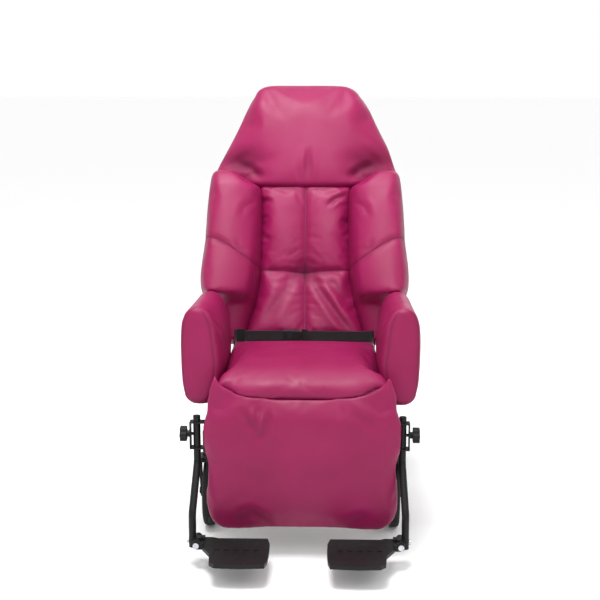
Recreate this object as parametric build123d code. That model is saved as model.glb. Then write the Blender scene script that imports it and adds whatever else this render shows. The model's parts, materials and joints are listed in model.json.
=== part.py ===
"""Patient recliner chair: tilting shell seat on four swivel castors, with a reclining back, a rising
legrest, sliding footrest hangers and folding footplates.

The working axes have X across the chair (the occupant's left is +X), Y from front to rear, Z up, with
y = 0 on the front faces of the armrests and z = 0 on the floor. Every piece is then moved along Y by MID_Y
as it is written, which puts the origin under the middle of the chair's box.
"""
import os
from math import cos, radians, sin

from build123d import *

os.makedirs("parts", exist_ok=True)

# ---- driving dimensions, mm ----
RUN = 0.05                 # radial running clearance of a shaft in its hole
REST = 0.3                 # gap between a piece and the face that it rests on

WHEEL_R = 100.0            # castor wheel
WHEEL_W = 32.0
TYRE_T = 14.0
TRAIL = 40.0               # wheel axle behind the swivel axis
SWIVEL_X = 266.0
FRONT_SWIVEL_Y = 138.0
REAR_SWIVEL_Y = 700.0
FORK_T = 4.5
FORK_GAP = 7.0             # wheel side to fork leg
CROWN_T = 7.0
RACE_H = 13.0              # swivel bearing under the frame socket
RACE_R = 23.0
STEM_R = 9.0
STEM_L = 60.0
AXLE_R = 6.0
CROWN_LOW = 2 * WHEEL_R + 6.0
PEDAL_PIN_R = 3.0          # brake pedal's pin, from the swivel axis
PEDAL_Y = 46.0
PEDAL_Z = CROWN_LOW + 14.0
PEDAL_HALF = 13.0

RAIL_X = 200.0             # base rails
RAIL_W = 20.0
RAIL_H = 40.0
RAIL_TOP = 293.0
BEAM_D = 30.0
BEAM_WALL = 2.5
SOCKET_R = 17.0

TILT_Y = 250.0             # seat tilt axis
TILT_Z = 360.0
TILT_AXLE_R = 8.0
PLATE_T = 6.0              # hinge plates
PLATE_GAP = 0.5

SEAT_TUBE_R = 12.5
SEAT_TUBE_Z = 388.0
SEAT_TUBE_X = 190.0
TUBE_WALL = 2.0
SEAT_FRONT = -5.0
SEAT_REAR = 470.0
SEAT_CROSS_R = 11.0
SEAT_CROSS_FRONT = 60.0
SEAT_CROSS_REAR = 455.0
BOARD_T = 11.0
BOARD_HALF = 205.0
CUSHION_HALF = 213.0
CUSHION_REAR = 450.0
CUSHION_TOP_FRONT = 501.0
CUSHION_TOP_REAR = 485.0
NOSE_HALF = 245.0
NOSE_FRONT = -72.0
NOSE_BOTTOM = 441.0

ARM_L = 400.0              # armrest block
ARM_DROP = 4.0             # degrees that the armrests fall to the rear
ARM_MID_Z = 550.0
ARM_UNDERSIDE = 413.0
ARM_BRACKETS = (80.0, 320.0)
ARM_BRACKET_HALF = 18.0

RECLINE_Y = 520.0          # back recline axis
RECLINE_Z = 430.0
RECLINE_AXLE_R = 8.0
BACK_LEAN = 16.0           # degrees that the back leans at rest
BACK_BOARD_Y = 40.0        # front of the back board, from the recline axis, square to the board
BACK_BOARD_T = 12.0
BACK_TUBE_X = 150.0
BACK_TUBE_R = 11.0
BACK_CROSS_Z = 20.0        # lower cross tube, along the back from the recline axis
BACK_TOP = 848.0           # top of the headrest, along the back from the recline axis
SEAM_Z = 521.0             # seam between the back cushion and the headrest
PANEL_HALF = 147.0         # half width of the back cushion
COVER_T = 4.0
COVER_DEPTH = 42.0
COVER_FOOT = 62.0

HANDLE_X = 160.0           # push handle
HANDLE_Y = 150.0
HANDLE_Z = 690.0
HANDLE_ROOT_Z = 620.0
HANDLE_R = 12.5
HANDLE_BEND = 38.0
GRIP_R = 17.0
GRIP_HALF = 62.0
POLE_R = 9.0               # infusion pole that the socket takes
POLE_SLIP = 0.1
POLE_SOCKET_L = 90.0
LEVER_X = 112.0            # release lever pivots on the handle bar
LEVER_L = 78.0
LEVER_PIN_R = 3.0

LEG_HINGE_Y = -35.0        # legrest hinge axis
LEG_HINGE_Z = 392.0
LEG_AXLE_R = 6.0
LEG_LUG_R = 12.0
LEG_TUBE_R = 10.0
LEG_TUBE_X = 165.0
LEG_CROSS_Z = 355.0
LEG_FRAME_BOTTOM = 225.0
SHELL_HALF = 252.0
SHELL_T = 3.0
SHELL_REAR = -10.0
SHELL_FRONT = -58.0
SHELL_BOTTOM = 92.0
SHELL_TOP = 340.0
PAD_FRONT = -80.0
PAD_HALF = 258.0
PAD_BOTTOM = 86.0
PAD_TOP = 410.0

HANGER_X = 278.0           # footrest hangers
HANGER_Y = -40.0
HANGER_R = 10.0
HANGER_TOP = 388.0
HANGER_KNEE_Z = 262.0
HANGER_SHIN_Z = 146.0
HANGER_FOOT_X = 284.0
HANGER_FOOT_Y = -130.0
HANGER_FOOT_Z = 54.0
STRAP_T = 3.0
STRAP_HALF = 15.0
STRAP_TOP = 376.0
STRAP_BOTTOM = 301.0
STRAP_OUT = 297.0
KNOB_Z = 341.0
KNOB_R = 21.0
KNOB_L = 18.0
SCREW_R = 4.0
NUT_L = 8.0

HINGE_PIN_X = 272.0        # footplate hinge
HINGE_PIN_Z = 70.0
HINGE_PIN_R = 5.0
KNUCKLE_R = 11.0
BLOCK_REAR = -119.0
BLOCK_FRONT = -141.0
PLATE_FRONT_Y = -285.0
PLATE_REAR_Y = -105.0
PLATE_INNER_X = 76.0
PLATE_OUTER_X = 228.0
PLATE_TOP_Z = 68.0
FOOTPLATE_T = 10.0
KNUCKLE_L = 20.0
GRIP_SLOT_Y0 = -212.0
GRIP_SLOT_Y1 = -182.0

BELT_Y = 430.0             # lap belt
BELT_T = 2.0
BELT_LOW = 490.5
BELT_W = 32.0
BUCKLE_X0 = -63.0
BUCKLE_X1 = -11.0
BUCKLE_T = 15.0
BUCKLE_H = 36.0
BUTTON_X0 = -50.0
BUTTON_X1 = -36.0
BUTTON_HALF = 9.0
BUTTON_T = 3.7
BUTTON_PROUD = 1.5
BUTTON_TRAVEL = 3.0
BUCKLE_Y = BELT_Y + BELT_T / 2
BUCKLE_Z = BELT_LOW + BELT_W / 2
ANCHOR_X = 215.0

SPRING_R = 11.0            # gas springs
ROD_R = 4.0
EYE_R = 13.0
EYE_T = 12.0
EYE_PIN_R = 5.0
OPEN_EYE_SLIP = 3.5        # radial room in the rod's eye
TILT_NECK = 42.0           # bare rod at rest, and room left in the bore for the rod to go in
TILT_ROOM = 6.0
BACK_NECK = 82.0
BACK_ROOM = 44.0
TILT_SPRING_Y, TILT_SPRING_Z = 200.0, 322.0
TILT_PIN_Y, TILT_PIN_Z = 60.0, 356.0
BACK_SPRING_Y, BACK_SPRING_Z = 300.0, 344.0
BACK_PIN_Y, BACK_PIN_Z = 20.0, -66.0     # in the back's own axes

BAR_REAR_Y = (RECLINE_Y + (HANDLE_Y + GRIP_R) * cos(radians(BACK_LEAN))
              + HANDLE_Z * sin(radians(BACK_LEAN)))
MID_Y = (BAR_REAR_Y + PLATE_FRONT_Y) / 2

SIDES = (("left", 1), ("right", -1))
BACK_PLACE = Pos(0, RECLINE_Y, RECLINE_Z) * Rot(-BACK_LEAN, 0, 0)


# ---- small builders ----
def block(x0, x1, y0, y1, z0, z1):
    """A box between two corners."""
    size = (x1 - x0, y1 - y0, z1 - z0)
    return Pos((x0 + x1) / 2, (y0 + y1) / 2, (z0 + z1) / 2) * Box(*size)


def rod_x(x0, x1, y, z, radius):
    return Pos((x0 + x1) / 2, y, z) * Rot(0, 90, 0) * Cylinder(radius, x1 - x0)


def rod_y(x, y0, y1, z, radius):
    return Pos(x, (y0 + y1) / 2, z) * Rot(90, 0, 0) * Cylinder(radius, y1 - y0)


def rod_z(x, y, z0, z1, radius):
    return Pos(x, y, (z0 + z1) / 2) * Cylinder(radius, z1 - z0)


def side_slab(points, x0, x1):
    """An outline in (y, z), given thickness from x0 to x1."""
    face = Plane.YZ.offset(x0) * make_face(Polyline(*points, close=True))
    return extrude(face, x1 - x0, dir=(1, 0, 0))


def front_slab(points, y0, y1):
    """An outline in (x, z), given depth from y0 to y1."""
    face = Pos(0, y0, 0) * (Rot(90, 0, 0) * make_face(Polyline(*points, close=True)))
    return extrude(face, y1 - y0, dir=(0, 1, 0))


def plan_slab(points, z0, z1):
    """An outline in (x, y), given height from z0 to z1."""
    face = Pos(0, 0, z0) * make_face(Polyline(*points, close=True))
    return extrude(face, z1 - z0, dir=(0, 0, 1))


def tube(points, radius, wall, bend=0.0):
    """A round tube along straight runs, with one bend radius. Without a wall it is solid."""
    path = FilletPolyline(*points, radius=bend) if bend else Polyline(*points)
    start = Plane(origin=path @ 0, z_dir=path % 0)
    section = Circle(radius) - Circle(radius - wall) if wall else Circle(radius)
    return sweep(start * section, path=path)


def beam(x0, x1, y0, y1, z0, z1, axis):
    """A rectangular hollow section, open at both ends along axis."""
    inner = {"x": (0, BEAM_WALL, BEAM_WALL), "y": (BEAM_WALL, 0, BEAM_WALL)}[axis]
    core = block(x0 + inner[0], x1 - inner[0], y0 + inner[1], y1 - inner[1], z0 + inner[2], z1 - inner[2])
    return block(x0, x1, y0, y1, z0, z1) - core


def lug(hole_y, hole_z, radius, foot, x0, x1, hole_r):
    """A hinge plate: a round eye about the hole, tapering to the listed foot points."""
    eye = rod_x(x0, x1, hole_y, hole_z, radius)
    return eye + side_slab(foot, x0, x1) - rod_x(x0 - 1, x1 + 1, hole_y, hole_z, hole_r + RUN)


def on_side(shape, side):
    """Puts a piece that is modelled at +X on the side asked for."""
    return shape if side > 0 else mirror(shape, about=Plane.YZ)


def write(name, *shapes, place=Pos(0, 0, 0)):
    """Writes one node, which may be a group of separate solids, placed in the finished frame."""
    moved = [Pos(0, -MID_Y, 0) * (place * shape) for shape in shapes]
    export_step(moved[0] if len(moved) == 1 else Compound(children=moved), f"parts/{name}.step")


# ---- castors ----
def castor_wheel_parts():
    """Hub and tyre about the X axis, centred on the origin."""
    rim_r = WHEEL_R - TYRE_T
    hub = rod_x(-WHEEL_W / 2 + 3, WHEEL_W / 2 - 3, 0, 0, rim_r)
    for side in (-1, 1):
        recess = rod_x(5, WHEEL_W / 2, 0, 0, rim_r - 10) - rod_x(5, WHEEL_W / 2, 0, 0, 24)
        hub -= on_side(recess, side)
        hub += on_side(rod_x(WHEEL_W / 2 - 4, WHEEL_W / 2 + FORK_GAP - REST, 0, 0, 15), side)
    hub -= rod_x(-WHEEL_W, WHEEL_W, 0, 0, AXLE_R + RUN)
    tyre = rod_x(-WHEEL_W / 2, WHEEL_W / 2, 0, 0, WHEEL_R)
    tyre = fillet(tyre.edges().filter_by(GeomType.CIRCLE), 9)
    tyre -= rod_x(-WHEEL_W, WHEEL_W, 0, 0, rim_r + RUN)
    return hub, tyre


def castor_fork():
    """Fork with its stem and axle bolt. The swivel axis is Z, and the wheel trails towards +Y."""
    leg_in = WHEEL_W / 2 + FORK_GAP
    leg_out = leg_in + FORK_T
    crown_top = CROWN_LOW + CROWN_T
    crown = block(-leg_out, leg_out, -24, 34, CROWN_LOW, crown_top)
    outline = [(-24, crown_top), (34, crown_top), (TRAIL + 16, WHEEL_R + 6), (TRAIL, WHEEL_R - 2),
               (TRAIL - 16, WHEEL_R + 6)]
    fork = crown
    for side in (-1, 1):
        leg = side_slab(outline, leg_in, leg_out) + rod_x(leg_in, leg_out, TRAIL, WHEEL_R, 17)
        fork += on_side(leg, side)
    fork -= rod_x(-leg_out - 1, leg_out + 1, TRAIL, WHEEL_R, AXLE_R + RUN)
    fork += rod_z(0, 0, crown_top, crown_top + RACE_H, RACE_R)
    fork += rod_z(0, 0, crown_top + RACE_H, crown_top + RACE_H + STEM_L, STEM_R)
    bolt = rod_x(-leg_out - 1, leg_out + 1, TRAIL, WHEEL_R, AXLE_R)
    for side in (-1, 1):
        bolt += on_side(rod_x(leg_out + REST / 3, leg_out + 4, TRAIL, WHEEL_R, 10), side)
    return fork, bolt


def brake_pedal():
    """Foot pedal behind a rear castor's crown, in the fork's axes, turning on ears about X."""
    arm = side_slab([(PEDAL_Y - 9, PEDAL_Z - 6), (PEDAL_Y + 10, PEDAL_Z - 6), (PEDAL_Y + 44, PEDAL_Z + 8),
                     (PEDAL_Y + 44, PEDAL_Z + 14), (PEDAL_Y + 8, PEDAL_Z + 5), (PEDAL_Y - 9, PEDAL_Z + 5)],
                    -PEDAL_HALF, PEDAL_HALF)
    tread = block(-25, 25, PEDAL_Y + 26, PEDAL_Y + 62, PEDAL_Z + 9, PEDAL_Z + 17)
    return arm + tread - rod_x(-30, 30, PEDAL_Y, PEDAL_Z, PEDAL_PIN_R + RUN)


def pedal_ears():
    """Two ears with a pin, which carry the brake pedal on the crown of a rear castor."""
    ears = rod_x(-18, 18, PEDAL_Y, PEDAL_Z, PEDAL_PIN_R)
    for side in (-1, 1):
        ear = side_slab([(30, CROWN_LOW), (40, CROWN_LOW), (PEDAL_Y + 7, PEDAL_Z - 5),
                         (PEDAL_Y + 7, PEDAL_Z + 7), (PEDAL_Y - 8, PEDAL_Z + 7), (30, CROWN_LOW + CROWN_T)],
                        PEDAL_HALF + PLATE_GAP, PEDAL_HALF + 5)
        ears += on_side(ear, side)
    return ears


hub, tyre = castor_wheel_parts()
fork, axle_bolt = castor_fork()
braked_fork = fork + pedal_ears()
for end, swivel_y in (("front", FRONT_SWIVEL_Y), ("rear", REAR_SWIVEL_Y)):
    for name, side in SIDES:
        place = Pos(side * SWIVEL_X, swivel_y, 0)
        wheel_place = place * Pos(0, TRAIL, WHEEL_R)
        if end == "rear":
            write(f"castor_{end}_{name}_brake_pedal", brake_pedal(), place=place)
        write(f"castor_{end}_{name}_fork", fork if end == "front" else braked_fork, axle_bolt, place=place)
        write(f"castor_{end}_{name}_hub", hub, place=wheel_place)
        write(f"castor_{end}_{name}_tyre", tyre, place=wheel_place)


# ---- base frame ----
def base_frame():
    """Two rails and three cross beams, with castor sockets, tilt ears and the tilt spring's bracket."""
    low = RAIL_TOP - RAIL_H
    frame = None
    for side in (-1, 1):
        rail = beam(RAIL_X - RAIL_W / 2, RAIL_X + RAIL_W / 2, FRONT_SWIVEL_Y + BEAM_D / 2,
                    REAR_SWIVEL_Y - BEAM_D / 2, low, RAIL_TOP, "y")
        rail = on_side(rail, side)
        frame = rail if frame is None else frame + rail
    for y in (FRONT_SWIVEL_Y, REAR_SWIVEL_Y):
        frame += beam(-SWIVEL_X, SWIVEL_X, y - BEAM_D / 2, y + BEAM_D / 2, low, RAIL_TOP - 4, "x")
    frame += beam(-RAIL_X, RAIL_X, TILT_SPRING_Y - 12, TILT_SPRING_Y + 12, low, RAIL_TOP - 4, "x")
    race_top = CROWN_LOW + CROWN_T + RACE_H
    for y in (FRONT_SWIVEL_Y, REAR_SWIVEL_Y):
        for side in (-1, 1):
            frame += rod_z(side * SWIVEL_X, y, race_top + REST, RAIL_TOP, SOCKET_R)
            frame -= rod_z(side * SWIVEL_X, y, race_top, RAIL_TOP + 1, STEM_R + RUN)
    foot = [(TILT_Y - 34, RAIL_TOP - 8), (TILT_Y + 34, RAIL_TOP - 8), (TILT_Y + 14, TILT_Z + 6),
            (TILT_Y - 14, TILT_Z + 6)]
    for side in (-1, 1):
        ear = lug(TILT_Y, TILT_Z, 18, foot, RAIL_X + RAIL_W / 2 - PLATE_T, RAIL_X + RAIL_W / 2, TILT_AXLE_R)
        frame += on_side(ear, side)
    for side in (-1, 1):
        cheek = side_slab([(TILT_SPRING_Y - 11, RAIL_TOP - 6), (TILT_SPRING_Y + 11, RAIL_TOP - 6),
                           (TILT_SPRING_Y + 9, TILT_SPRING_Z + 9), (TILT_SPRING_Y - 9, TILT_SPRING_Z + 9)],
                          EYE_T / 2 + PLATE_GAP, EYE_T / 2 + PLATE_GAP + 4)
        frame += on_side(cheek, side)
    reach = EYE_T / 2 + PLATE_GAP + 4
    return frame + rod_x(-reach, reach, TILT_SPRING_Y, TILT_SPRING_Z, EYE_PIN_R)


write("base_frame", base_frame())
axle_half = RAIL_X + RAIL_W / 2 + 6
write("tilt_axle", rod_x(-axle_half, axle_half, TILT_Y, TILT_Z, TILT_AXLE_R))


# ---- seat frame ----
def seat_frame():
    """Welded tubes under the seat, with plates for the tilt, recline and legrest hinges."""
    frame = None
    for side in (-1, 1):
        rail = tube([(side * SEAT_TUBE_X, SEAT_FRONT, SEAT_TUBE_Z),
                     (side * SEAT_TUBE_X, SEAT_REAR, SEAT_TUBE_Z)],
                    SEAT_TUBE_R, TUBE_WALL)
        frame = rail if frame is None else frame + rail
    for y in (SEAT_CROSS_FRONT, SEAT_CROSS_REAR):
        frame += tube([(-SEAT_TUBE_X, y, SEAT_TUBE_Z), (SEAT_TUBE_X, y, SEAT_TUBE_Z)], SEAT_CROSS_R,
                      TUBE_WALL)
    frame += tube([(-SEAT_TUBE_X, BACK_SPRING_Y, SEAT_TUBE_Z), (SEAT_TUBE_X, BACK_SPRING_Y, SEAT_TUBE_Z)],
                  SEAT_CROSS_R, TUBE_WALL)
    plate = SEAT_TUBE_X - PLATE_T / 2
    tube_low = SEAT_TUBE_Z - 8
    tube_high = SEAT_TUBE_Z + 8
    tilt_in = RAIL_X + RAIL_W / 2 - 2 * PLATE_T - PLATE_GAP
    for side in (-1, 1):
        tilt_foot = [(TILT_Y - 30, SEAT_TUBE_Z), (TILT_Y + 30, SEAT_TUBE_Z), (TILT_Y + 15, TILT_Z - 4),
                     (TILT_Y - 15, TILT_Z - 4)]
        tilt = lug(TILT_Y, TILT_Z, 16, tilt_foot, tilt_in, tilt_in + PLATE_T, TILT_AXLE_R)
        recline_foot = [(SEAT_REAR - 40, tube_low), (SEAT_REAR + 24, tube_low),
                        (RECLINE_Y + 13, RECLINE_Z - 8),
                        (RECLINE_Y - 10, RECLINE_Z + 12), (SEAT_REAR - 17, tube_high)]
        recline = lug(RECLINE_Y, RECLINE_Z, 17, recline_foot, plate, plate + PLATE_T, RECLINE_AXLE_R)
        leg_foot = [(SEAT_FRONT + 26, tube_low), (SEAT_FRONT + 26, tube_high),
                    (LEG_HINGE_Y, LEG_HINGE_Z + 11),
                    (LEG_HINGE_Y, LEG_HINGE_Z - 11)]
        leg = lug(LEG_HINGE_Y, LEG_HINGE_Z, LEG_LUG_R, leg_foot, plate, plate + PLATE_T, LEG_AXLE_R)
        frame += on_side(tilt, side)
        frame += on_side(recline, side)
        frame += on_side(leg, side)
        for y in ARM_BRACKETS:
            top = arm_underside(y + ARM_BRACKET_HALF) - REST
            near = y - ARM_BRACKET_HALF
            far = y + ARM_BRACKET_HALF
            arm = block(BOARD_HALF + 1, 286, near, far, top - 8, top)
            arm += block(BOARD_HALF + 1, BOARD_HALF + 7, near, far, min(top - 8, SEAT_TUBE_Z - 6), top)
            arm += block(SEAT_TUBE_X + 8, BOARD_HALF + 7, near, far, SEAT_TUBE_Z - 6, SEAT_TUBE_Z - 1)
            frame += on_side(arm, side)
        stub = block(SEAT_TUBE_X, ANCHOR_X - REST, SEAT_REAR - 14, SEAT_REAR + 6, SEAT_TUBE_Z - 6,
                     SEAT_TUBE_Z + 6)
        frame += on_side(stub, side)
    for y, z in ((TILT_PIN_Y, TILT_PIN_Z), (BACK_SPRING_Y, BACK_SPRING_Z)):
        for side in (-1, 1):
            cheek = side_slab([(y - 9, z - 9), (y + 9, z - 9), (y + 9, SEAT_TUBE_Z - 6),
                               (y - 9, SEAT_TUBE_Z - 6)],
                              EYE_T / 2 + PLATE_GAP, EYE_T / 2 + PLATE_GAP + 4)
            frame += on_side(cheek, side)
        reach = EYE_T / 2 + PLATE_GAP + 4
        frame += rod_x(-reach, reach, y, z, EYE_PIN_R)
    return frame


def arm_underside(y):
    """Height of the armrest's lower face at depth y."""
    drop = radians(ARM_DROP)
    below = ARM_MID_Z - ARM_UNDERSIDE
    along = (y + below * sin(drop)) / cos(drop)
    return ARM_MID_Z - below * cos(drop) - along * sin(drop)


write("seat_frame", seat_frame())
recline_half = SEAT_TUBE_X + PLATE_T / 2 + 5
write("recline_axle", rod_x(-recline_half, recline_half, RECLINE_Y, RECLINE_Z, RECLINE_AXLE_R))
leg_half = SEAT_TUBE_X + PLATE_T / 2 + 5
write("legrest_axle", rod_x(-leg_half, leg_half, LEG_HINGE_Y, LEG_HINGE_Z, LEG_AXLE_R))


# ---- seat board, cushion and armrests ----
board_low = SEAT_TUBE_Z + SEAT_TUBE_R + REST
board_top = board_low + BOARD_T
write("seat_board", block(-BOARD_HALF, BOARD_HALF, 3, CUSHION_REAR - 4, board_low, board_top))


def seat_cushion():
    """Foam seat: a core between the armrests and a wider nose in front of them."""
    core = side_slab([(0, board_top + REST), (CUSHION_REAR, board_top + REST),
                      (CUSHION_REAR, CUSHION_TOP_REAR),
                      (0, CUSHION_TOP_FRONT)], -CUSHION_HALF, CUSHION_HALF)
    nose = side_slab([(0, NOSE_BOTTOM), (0, CUSHION_TOP_FRONT), (-34, CUSHION_TOP_FRONT),
                      (-62, CUSHION_TOP_FRONT - 14), (NOSE_FRONT, CUSHION_TOP_FRONT - 34),
                      (NOSE_FRONT, NOSE_BOTTOM)], -CUSHION_HALF, CUSHION_HALF)
    for side in (-1, 1):
        wing = side_slab([(-11, NOSE_BOTTOM), (-11, CUSHION_TOP_FRONT - 4), (-34, CUSHION_TOP_FRONT - 4),
                          (-60, CUSHION_TOP_FRONT - 20), (NOSE_FRONT + 3, CUSHION_TOP_FRONT - 36),
                          (NOSE_FRONT + 3, NOSE_BOTTOM)], CUSHION_HALF, NOSE_HALF)
        nose += on_side(wing, side)
    return core + nose


write("seat_cushion", seat_cushion())


def armrest():
    """Upholstered armrest at +X: a rounded block that falls to the rear."""
    outline = [(256, ARM_UNDERSIDE), (292, ARM_UNDERSIDE), (313, 432), (324, 490), (326, 590), (321, 645),
               (305, 670), (282, 680), (258, 672), (240, 640), (229, 580), (220, 520), (218, 480),
               (228, 440)]
    return arm_place() * front_slab(outline, 0, ARM_L)


def arm_place():
    """Tips an upright armrest down to the rear, about its front face."""
    return Pos(0, 0, ARM_MID_Z) * Rot(-ARM_DROP, 0, 0) * Pos(0, 0, -ARM_MID_Z)


for name, side in SIDES:
    write(f"armrest_{name}", on_side(armrest(), side))


# ---- lap belt ----
def belt_half(x_inner, side):
    """Webbing from the buckle out along the back and round to the frame anchor, at +X or -X."""
    out = ANCHOR_X - REST
    bend = 9.0
    plan = [(x_inner, BELT_Y), (out - bend, BELT_Y), (out, BELT_Y + bend), (out, SEAT_REAR + 4),
            (out - BELT_T, SEAT_REAR + 4), (out - BELT_T, BELT_Y + bend + 0.8),
            (out - bend - 0.8, BELT_Y + BELT_T),
            (x_inner, BELT_Y + BELT_T)]
    return on_side(plan_slab(plan, BELT_LOW, BELT_LOW + BELT_W), side)


def buckle_housing():
    """Moulded housing with a slot for the tongue, a slot for the webbing and a pocket for the button."""
    body = block(BUCKLE_X0, BUCKLE_X1, BUCKLE_Y - BUCKLE_T / 2, BUCKLE_Y + BUCKLE_T / 2,
                 BUCKLE_Z - BUCKLE_H / 2, BUCKLE_Z + BUCKLE_H / 2)
    body = fillet(body.edges().filter_by(Axis.X), 4)
    body -= block(BUCKLE_X1 - 22, BUCKLE_X1 + 1, BUCKLE_Y - 1.6, BUCKLE_Y + 1.6, BUCKLE_Z - 13,
                  BUCKLE_Z + 13)
    body -= block(BUCKLE_X0 - 1, BUCKLE_X0 + 9, BELT_Y - REST, BELT_Y + BELT_T + REST,
                  BELT_LOW - REST, BELT_LOW + BELT_W + REST)
    front = BUCKLE_Y - BUCKLE_T / 2
    pocket = block(BUTTON_X0 - REST, BUTTON_X1 + REST, front - 1,
                   front + BUTTON_T - BUTTON_PROUD + BUTTON_TRAVEL + REST,
                   BUCKLE_Z - BUTTON_HALF - REST, BUCKLE_Z + BUTTON_HALF + REST)
    return body - pocket


def buckle_tongue():
    """Steel tongue that enters the housing, with a slot for the webbing."""
    plate = block(BUCKLE_X1 - 20, BUCKLE_X1 + 4, BUCKLE_Y - 1.3, BUCKLE_Y + 1.3, BUCKLE_Z - 12,
                  BUCKLE_Z + 12)
    head = block(BUCKLE_X1 + 4, BUCKLE_X1 + 22, BUCKLE_Y - 2.5, BUCKLE_Y + 2.5, BUCKLE_Z - 19.5,
                 BUCKLE_Z + 19.5)
    slot = block(BUCKLE_X1 + 9, BUCKLE_X1 + 23, BELT_Y - REST, BELT_Y + BELT_T + REST,
                 BELT_LOW - REST, BELT_LOW + BELT_W + REST)
    return plate + head - slot


button_front = BUCKLE_Y - BUCKLE_T / 2
button = block(BUTTON_X0, BUTTON_X1, button_front - BUTTON_PROUD, button_front - BUTTON_PROUD + BUTTON_T,
               BUCKLE_Z - BUTTON_HALF, BUCKLE_Z + BUTTON_HALF)
write("belt_webbing_left", belt_half(BUCKLE_X1 + 10, 1))
write("belt_webbing_right", belt_half(-BUCKLE_X0 - 8, -1))
write("buckle_housing", buckle_housing())
write("buckle_tongue", buckle_tongue())
write("buckle_button", button)
adjuster = block(-204, -182, BELT_Y - 3, BELT_Y + BELT_T + 3, BELT_LOW - 3.5, BELT_LOW + BELT_W + 3.5)
adjuster -= block(-205, -181, BELT_Y - REST, BELT_Y + BELT_T + REST, BELT_LOW - REST,
                  BELT_LOW + BELT_W + REST)
write("belt_adjuster", adjuster)
anchor = block(ANCHOR_X, ANCHOR_X + 3, SEAT_REAR - 14, SEAT_REAR + 6, SEAT_TUBE_Z - 6, BELT_LOW + BELT_W)
write("belt_anchors", anchor, on_side(anchor, -1))


# ---- backrest, modelled in its own upright axes about the recline axis ----
def back_outline(inset):
    """Half outline of the back board, (x, z), widest beside the side bolsters."""
    return [(205 - inset, 36 + inset), (205 - inset, 172), (294 - inset, 236), (286 - inset, 520),
            (262 - inset, 566), (238 - inset, 632), (206 - inset, 700), (172 - inset, 790),
            (134 - inset, BACK_TOP - 4 - inset)]


def mirrored(half):
    """A whole outline from the half at +X."""
    return half + [(-x, z) for x, z in reversed(half)]


def back_frame():
    """Two tubes joined across, with hinge plates below and the recline spring's arm."""
    tube_y = back_tube_y()
    frame = None
    for side in (-1, 1):
        rail = tube([(side * BACK_TUBE_X, tube_y, BACK_CROSS_Z), (side * BACK_TUBE_X, tube_y, 740)],
                    BACK_TUBE_R, TUBE_WALL)
        frame = rail if frame is None else frame + rail
    half = SEAT_TUBE_X - PLATE_T / 2 - PLATE_GAP
    frame += tube([(-half, tube_y, BACK_CROSS_Z), (half, tube_y, BACK_CROSS_Z)], BACK_TUBE_R, TUBE_WALL)
    frame += tube([(-BACK_TUBE_X, tube_y, 330), (BACK_TUBE_X, tube_y, 330)], BACK_TUBE_R, TUBE_WALL)
    reach = HANDLE_X + HANDLE_R
    frame += tube([(-reach, tube_y, HANDLE_ROOT_Z), (reach, tube_y, HANDLE_ROOT_Z)], BACK_TUBE_R, TUBE_WALL)
    foot = [(-12, 12), (12, -12), (tube_y + 8, BACK_CROSS_Z - 8), (tube_y - 6, BACK_CROSS_Z + 9)]
    for side in (-1, 1):
        plate = lug(0, 0, 17, foot, half - PLATE_T, half, RECLINE_AXLE_R)
        frame += on_side(plate, side)
        cheek = side_slab([(BACK_PIN_Y - 9, BACK_PIN_Z - 8), (BACK_PIN_Y + 9, BACK_PIN_Z - 8),
                           (tube_y + 8, BACK_CROSS_Z), (tube_y - 8, BACK_CROSS_Z)],
                          EYE_T / 2 + PLATE_GAP, EYE_T / 2 + PLATE_GAP + 4)
        frame += on_side(cheek, side)
    reach = EYE_T / 2 + PLATE_GAP + 4
    return frame + rod_x(-reach, reach, BACK_PIN_Y, BACK_PIN_Z, EYE_PIN_R)


def back_tube_y():
    """Depth of the back frame's tubes behind the recline axis."""
    return BACK_BOARD_Y + BACK_BOARD_T + REST + BACK_TUBE_R


def handle_points():
    """Centre line of the push handle, from one weld on the back frame to the other."""
    root_y = back_tube_y() + BACK_TUBE_R - 3
    return [(-HANDLE_X, root_y, HANDLE_ROOT_Z), (-HANDLE_X, HANDLE_Y, HANDLE_Z),
            (HANDLE_X, HANDLE_Y, HANDLE_Z), (HANDLE_X, root_y, HANDLE_ROOT_Z)]


def push_handle():
    """Bent handle bar with feet coped to the back frame, and a socket for an infusion pole on its right leg."""
    bar = tube(handle_points(), HANDLE_R, TUBE_WALL, HANDLE_BEND)
    reach = HANDLE_X + 2 * HANDLE_R
    bar -= rod_x(-reach, reach, back_tube_y(), HANDLE_ROOT_Z, BACK_TUBE_R + RUN)
    for side in (-1, 1):
        bar -= rod_z(side * BACK_TUBE_X, back_tube_y(), HANDLE_ROOT_Z - 60, HANDLE_ROOT_Z + 60,
                     BACK_TUBE_R + RUN)
    socket_x = -HANDLE_X - HANDLE_R - 16
    socket_low = HANDLE_Z - 68
    socket = rod_z(socket_x, HANDLE_Y - 22, socket_low, socket_low + POLE_SOCKET_L, POLE_R + POLE_SLIP + 3)
    web = block(socket_x, -HANDLE_X - HANDLE_R + 3, HANDLE_Y - 30, HANDLE_Y - 14, HANDLE_Z - 44,
                HANDLE_Z - 24)
    handle = bar + web + socket
    handle -= rod_z(socket_x, HANDLE_Y - 22, socket_low + 6, socket_low + POLE_SOCKET_L + 1,
                    POLE_R + POLE_SLIP)
    return handle


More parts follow.
